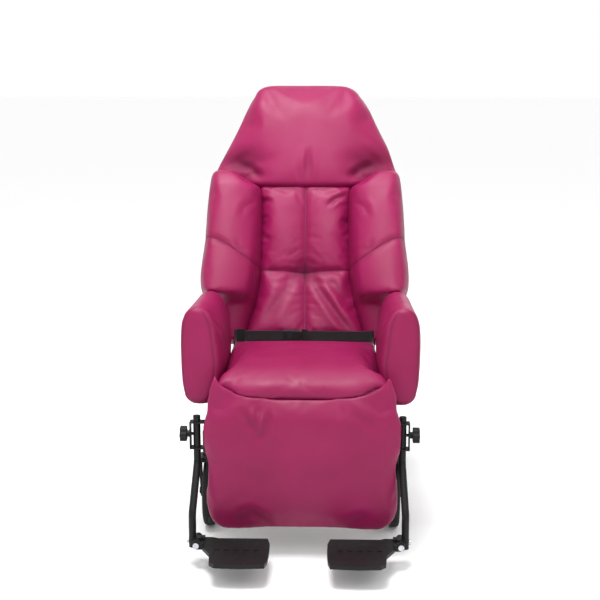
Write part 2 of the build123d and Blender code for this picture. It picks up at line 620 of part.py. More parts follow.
def lever_clamp():
    """Clamp round the handle bar with two ears and the pin of a release lever, at +X."""
    clamp = rod_x(LEVER_X - 9, LEVER_X + 9, HANDLE_Y, HANDLE_Z, HANDLE_R + 5)
    clamp -= rod_x(LEVER_X - 10, LEVER_X + 10, HANDLE_Y, HANDLE_Z, HANDLE_R + RUN)
    for z in (HANDLE_Z - 9, HANDLE_Z + 5):
        clamp += block(LEVER_X - 9, LEVER_X + 9, HANDLE_Y - 36, HANDLE_Y - HANDLE_R - 3, z, z + 4)
    return clamp + rod_z(LEVER_X, HANDLE_Y - 29, HANDLE_Z - 9, HANDLE_Z + 9, LEVER_PIN_R)


def release_lever():
    """Squeeze lever in front of the handle bar, reaching inboard from its pin, at +X."""
    blade = plan_slab([(LEVER_X + 8, HANDLE_Y - 35), (LEVER_X + 8, HANDLE_Y - 24),
                       (LEVER_X - 6, HANDLE_Y - 24),
                       (LEVER_X - 18, HANDLE_Y - 34), (LEVER_X - LEVER_L, HANDLE_Y - 36),
                       (LEVER_X - LEVER_L, HANDLE_Y - 42), (LEVER_X - 18, HANDLE_Y - 41),
                       (LEVER_X, HANDLE_Y - 36)], HANDLE_Z - 4.6, HANDLE_Z + 4.6)
    return blade - rod_z(LEVER_X, HANDLE_Y - 29, HANDLE_Z - 10, HANDLE_Z + 10, LEVER_PIN_R + RUN)


def rear_cover():
    """Moulded tray over the back frame, with clearance holes for the handle's legs."""
    front = BACK_BOARD_Y + BACK_BOARD_T + REST
    outer = front_slab(mirrored(cover_outline(0)), front, front + COVER_DEPTH)
    inner = front_slab(mirrored(cover_outline(COVER_T)), front - 1, front + COVER_DEPTH - COVER_T)
    cover = outer - inner
    return cover - tube(handle_points(), HANDLE_R + 1, 0, HANDLE_BEND)


def cover_outline(inset):
    """Half outline of the rear cover, (x, z). Its foot is open for the back frame's tubes."""
    foot = COVER_FOOT - (2 if inset else 0)
    return [(172 - inset, foot), (190 - inset, 180), (262 - inset, 250), (252 - inset, 540),
            (214 - inset, 660), (150 - inset, 800 - inset)]


def back_cushion():
    """Middle cushion of the back, flared at its lower end."""
    outline = mirrored([(194, 27), (PANEL_HALF, 254), (PANEL_HALF, SEAM_Z - 3)])
    whole = front_slab(outline, -80, BACK_BOARD_Y - REST)
    profile = [(-69, 27), (-47, 250), (-46, SEAM_Z - 3), (BACK_BOARD_Y, SEAM_Z - 3), (BACK_BOARD_Y, 27)]
    return whole & side_slab(profile, -250, 250)


def headrest():
    """Headrest cushion over the shoulders of the back."""
    half = [(PANEL_HALF, SEAM_Z + 1), (270, 572), (243, 640), (211, 702), (176, 792), (160, 824),
            (139, BACK_TOP)]
    whole = front_slab(mirrored(half), -60, BACK_BOARD_Y - REST)
    profile = [(-48, SEAM_Z - 5), (-58, 640), (-58, 790), (-44, 830), (-20, BACK_TOP),
               (BACK_BOARD_Y, BACK_TOP),
               (BACK_BOARD_Y, SEAM_Z - 5)]
    return whole & side_slab(profile, -300, 300)


def bolster():
    """Side wing at +X, which stands forward beside the occupant and arches over the armrest."""
    outline = [(197, 27), (211, 27), (211, 176), (313, 176), (316, 235), (304, 335), (290, 520), (268, 563),
               (PANEL_HALF + 3, SEAM_Z - 6), (PANEL_HALF + 3, 256)]
    whole = front_slab(outline, -212, BACK_BOARD_Y - REST)
    profile = [(-70, 27), (-100, 120), (-208, 176), (-181, 229), (-158, 335), (-130, 520), (-112, 566),
               (BACK_BOARD_Y, 566), (BACK_BOARD_Y, 27)]
    plan = [(PANEL_HALF, BACK_BOARD_Y), (PANEL_HALF, -52), (214, -140), (252, -212), (330, -212),
            (330, BACK_BOARD_Y)]
    wing = whole & side_slab(profile, PANEL_HALF, 330)
    wing = wing & plan_slab(plan, 0, BACK_TOP)
    arm_room = Rot(BACK_LEAN, 0, 0) * (Pos(0, -RECLINE_Y, -RECLINE_Z) * arm_tunnel())
    return wing - arm_room


def arm_tunnel():
    """The space round the rear of an armrest that a bolster keeps clear, in the chair's axes."""
    room = front_slab([(212, 300), (340, 300), (340, 686), (212, 686)], 0, ARM_L + 16)
    return arm_place() * room


write("back_frame", back_frame(), place=BACK_PLACE)
board = front_slab(mirrored(back_outline(6)), BACK_BOARD_Y, BACK_BOARD_Y + BACK_BOARD_T)
write("back_board", board, place=BACK_PLACE)
write("back_cushion", back_cushion(), place=BACK_PLACE)
write("headrest_cushion", headrest(), place=BACK_PLACE)
write("rear_cover", rear_cover(), place=BACK_PLACE)
write("push_handle", push_handle(), place=BACK_PLACE)
grip = rod_x(-GRIP_HALF, GRIP_HALF, HANDLE_Y, HANDLE_Z, GRIP_R)
grip -= rod_x(-GRIP_HALF - 1, GRIP_HALF + 1, HANDLE_Y, HANDLE_Z, HANDLE_R + RUN)
write("handle_grip", grip, place=BACK_PLACE)
write("lever_clamps", lever_clamp(), on_side(lever_clamp(), -1), place=BACK_PLACE)
for (name, side), lever in zip(SIDES, ("tilt_lever", "recline_lever")):
    write(f"bolster_{name}", on_side(bolster(), side), place=BACK_PLACE)
    write(lever, on_side(release_lever(), side), place=BACK_PLACE)


# ---- legrest ----
def legrest_frame():
    """Tube frame behind the calf pad's shell, with plates up to the legrest hinge."""
    tube_y = SHELL_REAR + REST + LEG_TUBE_R
    half = SEAT_TUBE_X - PLATE_T / 2 - PLATE_GAP
    frame = tube([(-half, tube_y, LEG_CROSS_Z), (half, tube_y, LEG_CROSS_Z)], LEG_TUBE_R, TUBE_WALL)
    frame += tube([(-LEG_TUBE_X, tube_y, LEG_FRAME_BOTTOM), (LEG_TUBE_X, tube_y, LEG_FRAME_BOTTOM)],
                  LEG_TUBE_R, TUBE_WALL)
    foot = [(LEG_HINGE_Y - 10, LEG_HINGE_Z - 6), (tube_y - 8, LEG_CROSS_Z - 5),
            (tube_y + 7, LEG_CROSS_Z + 6),
            (LEG_HINGE_Y + 6, LEG_HINGE_Z + 10)]
    for side in (-1, 1):
        frame += tube([(side * LEG_TUBE_X, tube_y, LEG_FRAME_BOTTOM),
                       (side * LEG_TUBE_X, tube_y, LEG_CROSS_Z)],
                      LEG_TUBE_R, TUBE_WALL)
        frame += on_side(lug(LEG_HINGE_Y, LEG_HINGE_Z, LEG_LUG_R, foot, half - PLATE_T, half, LEG_AXLE_R),
                         side)
    return frame


def legrest_shell():
    """Pressed tray that holds the calf pad: a rear sheet with side returns."""
    outer = block(-SHELL_HALF, SHELL_HALF, SHELL_FRONT, SHELL_REAR, SHELL_BOTTOM, SHELL_TOP)
    inner = block(-SHELL_HALF + SHELL_T, SHELL_HALF - SHELL_T, SHELL_FRONT - 1, SHELL_REAR - SHELL_T,
                  SHELL_BOTTOM - 1, SHELL_TOP + 1)
    shell = outer - inner
    for side in (-1, 1):
        tab = block(SHELL_HALF - SHELL_T, SHELL_HALF, HANGER_Y - STRAP_HALF - 3, HANGER_Y + STRAP_HALF + 3,
                    SHELL_TOP - 1, STRAP_TOP + 4)
        shell += on_side(tab, side)
    return shell


def legrest_pad():
    """Foam calf pad: a core in the tray and a wider face in front of it, with its lower corners cut off."""
    rear = SHELL_REAR - SHELL_T - REST
    side_gap = SHELL_T + 3
    core = block(-SHELL_HALF + side_gap, SHELL_HALF - side_gap, SHELL_FRONT - 2, rear, SHELL_BOTTOM + 2,
                 SHELL_TOP - 2)
    face = side_slab([(SHELL_FRONT - 2, PAD_BOTTOM + 6), (SHELL_FRONT - 2, PAD_TOP),
                      (PAD_FRONT + 8, PAD_TOP),
                      (PAD_FRONT, PAD_TOP - 22), (PAD_FRONT, PAD_BOTTOM + 16),
                      (PAD_FRONT + 10, PAD_BOTTOM)],
                     -PAD_HALF, PAD_HALF)
    corner = 46.0
    for side in (-1, 1):
        cut = front_slab([(PAD_HALF - corner * 0.5, PAD_BOTTOM - 1), (PAD_HALF + 1, PAD_BOTTOM - 1),
                          (PAD_HALF + 1, PAD_BOTTOM + corner)], PAD_FRONT - 1, SHELL_FRONT + 1)
        face -= on_side(cut, side)
    return core + face


def hanger_bracket():
    """Steel loop on the tray's side that guides a hanger, with the weld nut of its clamp screw, at +X."""
    x0 = SHELL_HALF + REST
    loop = block(x0, STRAP_OUT, HANGER_Y - STRAP_HALF, HANGER_Y + STRAP_HALF, STRAP_BOTTOM, STRAP_TOP)
    loop -= block(x0 + STRAP_T, STRAP_OUT - STRAP_T, HANGER_Y - 40, HANGER_Y + 40, STRAP_BOTTOM + STRAP_T,
                  STRAP_TOP - STRAP_T)
    loop += rod_x(STRAP_OUT, STRAP_OUT + NUT_L, HANGER_Y, KNOB_Z, 9)
    loop -= rod_z(HANGER_X, HANGER_Y, STRAP_BOTTOM - 1, STRAP_TOP + 1, HANGER_R + RUN)
    return loop - rod_x(STRAP_OUT - 10, STRAP_OUT + NUT_L + 1, HANGER_Y, KNOB_Z, SCREW_R + RUN)


write("legrest_frame", legrest_frame())
write("legrest_shell", legrest_shell())
write("legrest_pad", legrest_pad())
write("hanger_brackets", hanger_bracket(), on_side(hanger_bracket(), -1))


# ---- footrest hangers, knobs and footplates ----
def hanger():
    """Bent tube that slides in the bracket, with the footplate's hinge block at its foot, at +X."""
    points = [(HANGER_X, HANGER_Y, HANGER_TOP), (HANGER_X, HANGER_Y, HANGER_KNEE_Z),
              (HANGER_FOOT_X, HANGER_FOOT_Y, HANGER_SHIN_Z), (HANGER_FOOT_X, HANGER_FOOT_Y, HANGER_FOOT_Z)]
    leg = tube(points, HANGER_R, TUBE_WALL, 30)
    hinge_block = block(HINGE_PIN_X - 10, HANGER_FOOT_X - 2, BLOCK_FRONT, BLOCK_REAR, HINGE_PIN_Z - 12,
                        HINGE_PIN_Z + 12)
    leg += hinge_block
    leg -= rod_z(HANGER_FOOT_X, HANGER_FOOT_Y, HANGER_FOOT_Z + 4, HINGE_PIN_Z + 14, HANGER_R - TUBE_WALL)
    leg -= rod_y(HINGE_PIN_X, BLOCK_FRONT - 1, BLOCK_REAR + 1, HINGE_PIN_Z, HINGE_PIN_R + RUN)
    return leg - rod_x(HANGER_FOOT_X, HANGER_FOOT_X + 20, HANGER_FOOT_Y, HINGE_PIN_Z + 2, SCREW_R + RUN)


def hanger_bolts():
    """The footplate's hinge bolt and the cross bolt in the hanger's foot, at +X."""
    front = BLOCK_FRONT - PLATE_GAP - KNUCKLE_L
    rear = BLOCK_REAR + PLATE_GAP + KNUCKLE_L
    hinge = rod_y(HINGE_PIN_X, front - 2, rear + 4, HINGE_PIN_Z, HINGE_PIN_R)
    hinge += rod_y(HINGE_PIN_X, front - 6, front - REST, HINGE_PIN_Z, 8)
    hinge += rod_y(HINGE_PIN_X, rear + REST, rear + 5, HINGE_PIN_Z, 8)
    cross = rod_x(HANGER_FOOT_X + 2, HANGER_FOOT_X + HANGER_R + 3, HANGER_FOOT_Y, HINGE_PIN_Z + 2, SCREW_R)
    cross += rod_x(HANGER_FOOT_X + HANGER_R + REST, HANGER_FOOT_X + HANGER_R + 5, HANGER_FOOT_Y,
                   HINGE_PIN_Z + 2, 7)
    return hinge, cross


def hanger_cap():
    """Plastic plug in the top of a hanger, at +X."""
    plug = rod_z(HANGER_X, HANGER_Y, HANGER_TOP - 12, HANGER_TOP + REST, HANGER_R - TUBE_WALL - RUN)
    return plug + rod_z(HANGER_X, HANGER_Y, HANGER_TOP + RUN, HANGER_TOP + 4, HANGER_R)


def clamp_knob():
    """Star knob and screw that clamp a hanger in its bracket, at +X."""
    start = STRAP_OUT + NUT_L + REST
    knob = rod_x(start, start + KNOB_L, HANGER_Y, KNOB_Z, KNOB_R)
    for index in range(6):
        angle = radians(60 * index + 30)
        notch_y = HANGER_Y + (KNOB_R + 5) * cos(angle)
        notch_z = KNOB_Z + (KNOB_R + 5) * sin(angle)
        knob -= rod_x(start - 1, start + KNOB_L + 1, notch_y, notch_z, 9)
    return knob + rod_x(HANGER_X + HANGER_R + REST, start + 4, HANGER_Y, KNOB_Z, SCREW_R)


def footplate():
    """Folding footplate at +X: a ribbed plate, a neck and two knuckles round the hinge bolt."""
    low = PLATE_TOP_Z - FOOTPLATE_T
    outline = [(PLATE_INNER_X + 8, PLATE_FRONT_Y + 6), (150, PLATE_FRONT_Y),
               (PLATE_OUTER_X - 14, PLATE_FRONT_Y + 4),
               (PLATE_OUTER_X, PLATE_FRONT_Y + 20), (PLATE_OUTER_X + 4, -212), (HINGE_PIN_X - 17, -166),
               (HINGE_PIN_X - 17, -98), (PLATE_OUTER_X + 4, -98), (PLATE_OUTER_X - 10, PLATE_REAR_Y),
               (PLATE_INNER_X + 8, PLATE_REAR_Y), (PLATE_INNER_X + 1, -140), (PLATE_INNER_X, -196),
               (PLATE_INNER_X + 2, PLATE_FRONT_Y + 34)]
    plate = plan_slab(outline, low, PLATE_TOP_Z)
    pocket = [(PLATE_INNER_X + 12, PLATE_FRONT_Y + 12), (PLATE_OUTER_X - 8, PLATE_FRONT_Y + 12),
              (PLATE_OUTER_X - 4, PLATE_REAR_Y - 8), (PLATE_INNER_X + 12, PLATE_REAR_Y - 8)]
    plate -= plan_slab(pocket, low - 1, PLATE_TOP_Z - 5)
    for x in (PLATE_INNER_X + 48, PLATE_INNER_X + 86, PLATE_INNER_X + 124):
        plate += block(x - 2, x + 2, PLATE_FRONT_Y + 8, PLATE_REAR_Y - 6, low, PLATE_TOP_Z - 4)
    for index in range(5):
        x = PLATE_INNER_X + 34 + 26 * index
        plate -= block(x - 7, x + 7, GRIP_SLOT_Y0, GRIP_SLOT_Y1, PLATE_TOP_Z - 1.5, PLATE_TOP_Z + 1)
    for y0, y1 in ((BLOCK_FRONT - PLATE_GAP - KNUCKLE_L, BLOCK_FRONT - PLATE_GAP),
                   (BLOCK_REAR + PLATE_GAP, BLOCK_REAR + PLATE_GAP + KNUCKLE_L)):
        plate += rod_y(HINGE_PIN_X, y0, y1, HINGE_PIN_Z, KNUCKLE_R)
        plate += block(HINGE_PIN_X - 19, HINGE_PIN_X, y0, y1, low, HINGE_PIN_Z + 4)
    return plate - rod_y(HINGE_PIN_X, -180, -80, HINGE_PIN_Z, HINGE_PIN_R + RUN)


for name, side in SIDES:
    write(f"hanger_{name}", on_side(hanger(), side))
    write(f"hanger_cap_{name}", on_side(hanger_cap(), side))
    write(f"hanger_bolts_{name}", *[on_side(bolt, side) for bolt in hanger_bolts()])
    write(f"clamp_knob_{name}", on_side(clamp_knob(), side))
    write(f"footplate_{name}", on_side(footplate(), side))


# ---- gas springs ----
def gas_spring(start, end, neck, room):
    """Cylinder and rod along +Y from the origin, with the fixed eye at start and the rod's eye at end.

    neck is the length of bare rod at rest, and room is what is left in the bore for the rod to go in.
    """
    length = ((end[0] - start[0]) ** 2 + (end[1] - start[1]) ** 2) ** 0.5
    body_end = length - neck
    cylinder = rod_x(-EYE_T / 2, EYE_T / 2, 0, 0, EYE_R) + rod_y(0, EYE_R - 3, EYE_R + 6, 0,
                                                                 EYE_T / 2 - 0.6)
    cylinder += rod_y(0, EYE_R + 5, body_end, 0, SPRING_R)
    cylinder -= rod_x(-EYE_T, EYE_T, 0, 0, EYE_PIN_R + RUN)
    cylinder -= rod_y(0, EYE_R + 6, body_end + 1, 0, ROD_R + RUN)
    rod = rod_y(0, EYE_R + 6 + room, length - EYE_R + 2, 0, ROD_R)
    rod += rod_x(-EYE_T / 2, EYE_T / 2, length, 0, EYE_R)
    rod -= rod_x(-EYE_T, EYE_T, length, 0, EYE_PIN_R + OPEN_EYE_SLIP)
    return cylinder, rod


def place_between(start, end):
    """Location that lays the spring's own Y axis from start to end in the (y, z) plane."""
    plane = Plane(origin=(0, start[0], start[1]), x_dir=(1, 0, 0),
                  z_dir=Vector(1, 0, 0).cross(Vector(0, end[0] - start[0], end[1] - start[1])))
    return plane.location


lean = radians(BACK_LEAN)
back_pin = (RECLINE_Y + BACK_PIN_Y * cos(lean) + BACK_PIN_Z * sin(lean),
            RECLINE_Z - BACK_PIN_Y * sin(lean) + BACK_PIN_Z * cos(lean))
springs = (("tilt", (TILT_SPRING_Y, TILT_SPRING_Z), (TILT_PIN_Y, TILT_PIN_Z), TILT_NECK, TILT_ROOM),
           ("recline", (BACK_SPRING_Y, BACK_SPRING_Z), back_pin, BACK_NECK, BACK_ROOM))
for name, start, end, neck, room in springs:
    cylinder, rod = gas_spring(start, end, neck, room)
    place = place_between(start, end)
    write(f"{name}_spring_cylinder", cylinder, place=place)
    write(f"{name}_spring_rod", rod, place=place)
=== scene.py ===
# %% [markdown]
# # A patient recliner chair, rebuilt for looks
# The chair's frame, hinges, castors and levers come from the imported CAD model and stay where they
# are. This lesson gives every one of them a worked finish, and makes the upholstery that a CAD
# model can't hold: cushions with seams, tucks and slack leathercloth, and the woven lap belt.
# Lengths are in millimetres in the chair's own axes (x across, y to the rear from the armrests'
# faces, z up from the floor) and turn into metres at the end.

import json
import math

import bmesh
import bpy
import numpy as np
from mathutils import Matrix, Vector


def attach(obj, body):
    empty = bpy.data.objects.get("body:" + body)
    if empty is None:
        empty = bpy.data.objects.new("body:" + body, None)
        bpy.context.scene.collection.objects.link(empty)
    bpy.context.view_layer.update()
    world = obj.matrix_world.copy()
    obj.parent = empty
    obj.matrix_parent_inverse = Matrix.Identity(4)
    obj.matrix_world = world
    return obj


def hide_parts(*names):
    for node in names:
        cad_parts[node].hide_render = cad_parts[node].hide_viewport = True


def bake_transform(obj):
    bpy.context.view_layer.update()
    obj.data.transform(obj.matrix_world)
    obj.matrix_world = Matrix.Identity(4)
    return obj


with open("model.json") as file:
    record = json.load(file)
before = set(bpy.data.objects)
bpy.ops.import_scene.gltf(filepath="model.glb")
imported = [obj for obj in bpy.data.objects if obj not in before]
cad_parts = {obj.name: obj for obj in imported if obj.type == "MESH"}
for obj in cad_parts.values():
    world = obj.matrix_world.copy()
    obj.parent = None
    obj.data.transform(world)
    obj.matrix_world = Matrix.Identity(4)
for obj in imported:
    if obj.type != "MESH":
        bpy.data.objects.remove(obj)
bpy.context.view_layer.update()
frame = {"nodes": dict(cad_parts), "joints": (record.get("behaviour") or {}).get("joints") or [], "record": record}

# %% [markdown]
# ## Two sets of axes
# The seat, the armrests and the legrest are upright, but the back leans. It's far easier to shape a
# cushion lying square to its own board, so each cushion is made in flat panel axes (across, along,
# thickness) and then laid on the chair. The recline hinge gives the place of the back, and the
# socket on the push handle gives its lean.

# %% Where things are
joints = {joint["name"]: joint for joint in frame["joints"]}
MM = 0.001
RECLINE_Y = 520
RECLINE_Z = joints["back_recline"]["pos_m"][2] / MM
FRONT_Y = joints["back_recline"]["pos_m"][1] - RECLINE_Y * MM
_, lean_y, lean_z = frame["record"]["mounts"][0]["axis"]
BOARD_FACE = 39.7      # front of the back board, ahead of the hinge


def on_chair(points):
    """Chair millimetres to metres in the row frame."""
    return np.asarray(points, float) * MM + (0, FRONT_Y, 0)


def on_back(points):
    """Millimetres square to the back board (x, y behind the hinge, z up the board) to metres in
    the row frame."""
    x, y, z = np.asarray(points, float).T
    return on_chair(np.c_[x, RECLINE_Y + y * lean_z + z * lean_y,
                          RECLINE_Z - y * lean_y + z * lean_z])


lean = math.degrees(math.atan2(lean_y, lean_z))
print("back leans", round(lean, 1), "degrees about", joints["back_recline"]["pos_m"])

# %% [markdown]
# ## Writing a finish as sums
# A finish is a web of shader nodes, and wiring it by hand hides the idea. Here a socket is wrapped
# so that ordinary sums such as `1 - worn * 0.3` add the Math nodes by themselves. One method makes
# any other node.

# %% A small language for finishes
class Wire:
    """An output socket that can be used in sums."""

    def __init__(self, finish, socket):
        self.finish = finish
        self.socket = socket

    def sum(self, operation, first, second):
        return self.finish.node("Math", {"operation": operation}, {0: first, 1: second})

    def __add__(self, other):
        return self.sum("ADD", self, other)

    def __sub__(self, other):
        return self.sum("SUBTRACT", self, other)

    def __rsub__(self, other):
        return self.sum("SUBTRACT", other, self)

    def __mul__(self, other):
        return self.sum("MULTIPLY", self, other)

    def __pow__(self, other):
        return self.sum("POWER", self, other)

    __radd__ = __add__
    __rmul__ = __mul__


class Finish:
    """One material, with a method for any node and a few common patterns."""

    def __init__(self, name, **constants):
        self.material = bpy.data.materials.new(name)
        self.material.use_nodes = True
        self.tree = self.material.node_tree
        self.shader = self.tree.nodes["Principled BSDF"]
        for socket, value in constants.items():
            self.shader.inputs[socket.replace("_", " ")].default_value = value
        self.spot = self.node("TexCoord", {}, {}, "Object")

    def node(self, kind, settings=None, values=None, out=0):
        made = self.tree.nodes.new("ShaderNode" + kind)
        for name, value in (settings or {}).items():
            if name == "stops":
                for element, (place, colour) in zip(made.color_ramp.elements, value):
                    element.position = place
                    element.color = colour
            else:
                setattr(made, name, value)
        for key, value in (values or {}).items():
            if isinstance(value, Wire):
                self.tree.links.new(value.socket, made.inputs[key])
            else:
                made.inputs[key].default_value = value
        return Wire(self, made.outputs[out])

    def noise(self, scale, detail=3.0, rough=0.5):
        return self.node("TexNoise", {}, {"Vector": self.spot, "Scale": scale,
                                          "Detail": detail, "Roughness": rough})

    def between(self, value, low, high, to_low=0.0, to_high=1.0):
        """Stretches the part of value from low to high, held at both ends."""
        return self.node("MapRange", {"clamp": True},
                         {0: value, 1: low, 2: high, 3: to_low, 4: to_high})

    def mix(self, amount, first, second):
        return self.node("Mix", {"data_type": "RGBA"}, {0: amount, 6: first, 7: second}, 2)

    def mark(self, name):
        """A number that a piece carries at each of its points, such as how deep it lies in a seam."""
        return self.node("Attribute", {"attribute_name": name}, {}, "Fac")

    def bump(self, height, strength, depth):
        made = self.node("Bump", {}, {"Height": height, "Strength": strength, "Distance": depth})
        self.feed("Normal", made)

    def feed(self, socket, wire):
        self.tree.links.new(wire.socket, self.shader.inputs[socket])


def rgb(red, green, blue):
    """A colour as the eye reads it, 0 to 255, for a shader's linear sockets."""
    linear = [((v / 255 + 0.055) / 1.055) ** 2.4 if v > 10 else v / 255 / 12.92
              for v in (red, green, blue)]
    return (*linear, 1.0)


# %% [markdown]
# ## Coated upholstery cloth
# Care chairs are covered in a soft coated cloth: a knitted backing with a coloured skin, embossed
# with a fine pebble so that it doesn't shine like plastic film. Seams, tucks, folds and hollows get
# painted shade: each cushion carries a mark that darkens the cloth's colour there,
# and also makes the cloth rougher there.

# %% Coated cloth
def coated_cloth():
    cloth = Finish("magenta_coated_cloth", IOR=1.46, Specular_IOR_Level=0.3)
    drift = cloth.between(cloth.noise(5.0, 4.0, 0.6), 0.3, 0.7)
    skin = cloth.mix(drift, rgb(121, 11, 61), rgb(132, 17, 72))
    # Painted shade: the cloth is darkened towards deep magenta where the mark lies, in seams, tucks, folds and
    # hollows.
    skin_with_painted_shade = cloth.mix(cloth.mark("tuck"), skin, rgb(70, 0, 34))
    cloth.feed("Base Color", skin_with_painted_shade)
    pebble = cloth.node("TexVoronoi", {"feature": "SMOOTH_F1"},
                        {"Vector": cloth.spot, "Scale": 620.0})
    pores = cloth.noise(1500.0, 2.0)
    sag = cloth.noise(36.0, 3.0, 0.55)
    rough = cloth.between(cloth.noise(22.0, 4.0), 0.25, 0.75, 0.40, 0.52)
    cloth.feed("Roughness", rough + cloth.mark("tuck") * 0.35)
    cloth.bump(pebble * 0.5 + pores * 0.2 + sag * 1.6, 0.32, 0.0006)
    return cloth.material


# %% [markdown]
# ## Hard finishes
# Nearly everything under the upholstery is black, so the finishes have to differ in how they catch
# light: powder coat has an orange-peel skin, moulded plastic a spark-eroded one, rubber is dull and
# dusty, zinc plate is bright and slightly cloudy. Edges that hands and shoes rub are a little
# paler, which the Geometry node's pointiness finds.

# %% Black finishes
def dark_finish(name, shade, rough, grain, depth, worn=0.25, **constants):
    """A black or dark coat: shade from 0 to 255, grain in bumps per metre, worn the paling of
    its edges."""
    coat = Finish(name, Specular_IOR_Level=0.17, **constants)
    dust = coat.between(coat.noise(9.0, 5.0, 0.6), 0.45, 0.8)
    edge = coat.between(coat.node("NewGeometry", {}, {}, "Pointiness"), 0.52, 0.62)
    pale = rgb(shade + 18, shade + 17, shade + 16)
    coat.feed("Base Color", coat.mix(dust * 0.18 + edge * worn, rgb(shade, shade, shade + 1), pale))
    coat.feed("Roughness", coat.between(coat.noise(40.0, 4.0), 0.3, 0.7, rough - 0.06, rough + 0.07))
    coat.bump(coat.noise(grain, 3.0, 0.6), 0.35, depth)
    return coat.material


def bright_steel():
    steel = Finish("zinc_plate", Metallic=1.0)
    cloud = steel.between(steel.noise(60.0, 5.0, 0.65), 0.3, 0.75)
    steel.feed("Base Color", steel.mix(cloud, rgb(196, 198, 202), rgb(158, 160, 166)))
    steel.feed("Roughness", steel.between(cloud, 0.0, 1.0, 0.24, 0.42))
    steel.bump(steel.noise(900.0, 2.0), 0.2, 0.0002)
    return steel.material


# %% Wood, webbing and foam
def birch_ply():
    ply = Finish("birch_plywood")
    stretched = ply.node("Mapping", {}, {"Vector": ply.spot, "Scale": (6.0, 60.0, 60.0)})
    grain = ply.node("TexNoise", {}, {"Vector": stretched, "Scale": 4.0, "Detail": 6.0,
                                      "Distortion": 0.4})
    ply.feed("Base Color", ply.mix(ply.between(grain, 0.35, 0.7), rgb(214, 180, 134), rgb(176, 134, 88)))
    ply.feed("Roughness", ply.between(grain, 0.3, 0.7, 0.45, 0.6))
    ply.bump(grain, 0.2, 0.0004)
    return ply.material


def woven_webbing():
    """Ribs across the strap and slanting yarns, in the mark that runs along it."""
    web = Finish("black_webbing", Specular_IOR_Level=0.35)
    along = web.mark("along")
    across = web.mark("across")
    ribs = web.node("Math", {"operation": "PINGPONG"},
                    {0: along * 1000.0 + across * 220.0, 1: 1.0})
    cords = web.node("Math", {"operation": "PINGPONG"}, {0: across * 900.0, 1: 1.0})
    web.feed("Base Color", web.mix(ribs * cords, rgb(14, 14, 15), rgb(44, 44, 46)))
    web.feed("Roughness", web.between(ribs, 0.0, 1.0, 0.72, 0.55))
    web.bump(ribs + cords * 0.7, 0.7, 0.0005)
    return web.material


# %% Give every CAD node its finish
vinyl = coated_cloth()
webbing = woven_webbing()
powder = dark_finish("black_powder_coat", 20, 0.42, 520.0, 0.0004, 0.3)
moulded = dark_finish("black_moulded_plastic", 22, 0.5, 1400.0, 0.0003, 0.2)
zinc = bright_steel()
finishes = {
    "vinyl": vinyl,
    "shell_plastic": dark_finish("black_shell_plastic", 26, 0.58, 420.0, 0.0006, 0.2),
    "frame_paint": powder,
    "zinc_steel": zinc,
    "black_plastic": moulded,
    "buckle_button": dark_finish("dark_red_button", 30, 0.3, 300.0, 0.0001, 0.1),
    "spring_paint": dark_finish("black_gloss_paint", 16, 0.22, 200.0, 0.0001, 0.1, Coat_Weight=0.5),
    "hub_plastic": dark_finish("grey_hub_plastic", 46, 0.48, 900.0, 0.0003, 0.2),
    "tyre_rubber": dark_finish("dark_rubber", 34, 0.74, 700.0, 0.0005, 0.35),
    "grip_foam": dark_finish("closed_foam", 20, 0.85, 260.0, 0.0012, 0.1),
    "plywood": birch_ply(),
    "webbing": webbing,
}
for row in frame["record"]["subparts"]:
    node = frame["nodes"][row["node"]]
    node.data.materials.clear()
    node.data.materials.append(finishes[row["material_slot"]])
frame["nodes"]["buckle_tongue"].data.materials[0] = moulded
frame["nodes"]["belt_anchors"].data.materials[0] = powder
frame["nodes"]["back_board"].data.materials[0] = vinyl  # the board is wrapped in the cover's cloth

# %% [markdown]
# ## Lights, floor and camera
# The chair stands in a plain bright studio: a pale floor that runs out of sight, a wide soft light
# above and in front, and four weaker ones. The camera is a long lens about three metres off, a
# little above the seated head.

# %% Studio
scene = bpy.context.scene
scene.view_settings.view_transform = "Standard"


def soft_light(name, place, aim, size, power, spread=180):
    lamp = bpy.data.lights.new(name, "AREA")
    lamp.spread = math.radians(spread)
    lamp.shape = "DISK"
    lamp.size = size
    lamp.energy = power
    holder = bpy.data.objects.new(name, lamp)
    holder.location = place
    holder.rotation_euler = (Vector(aim) - Vector(place)).to_track_quat("-Z", "Y").to_euler()
    scene.collection.objects.link(holder)


soft_light("key_light", (-0.4, -0.95, 3.6), (0, 0.1, 0.8), 1.6, 112)
soft_light("fill_light", (1.9, -1.8, 2.6), (0, 0.2, 1.0), 1.6, 8)
soft_light("back_light", (0.0, -2.1, 2.3), (0, 0.3, 0.95), 1.0, 2.3, spread=46)
soft_light("top_light", (0.1, 0.5, 3.4), (0, 0, 0.6), 2.2, 12)
soft_light("rear_light", (1.4, 3.0, 2.2), (0, 0, 0.7), 1.8, 9)

sky = bpy.data.worlds.new("studio")
sky.use_nodes = True
sky.node_tree.nodes["Background"].inputs["Color"].default_value = (1, 1, 1, 1)
sky.node_tree.nodes["Background"].inputs["Strength"].default_value = 1.0
scene.world = sky

floor_mesh = bpy.data.meshes.new("studio_floor")
FLOOR_REACH = 40.0     # metres to each side
corners = [(-FLOOR_REACH, -FLOOR_REACH, 0), (FLOOR_REACH, -FLOOR_REACH, 0),
           (FLOOR_REACH, FLOOR_REACH, 0), (-FLOOR_REACH, FLOOR_REACH, 0)]
floor_mesh.from_pydata(corners, [], [(0, 1, 2, 3)])
floor = bpy.data.objects.new("studio_floor", floor_mesh)
scene.collection.objects.link(floor)
pale = Finish("pale_floor", Base_Color=(0.97, 0.97, 0.97, 1), Roughness=0.7)
floor.data.materials.append(pale.material)

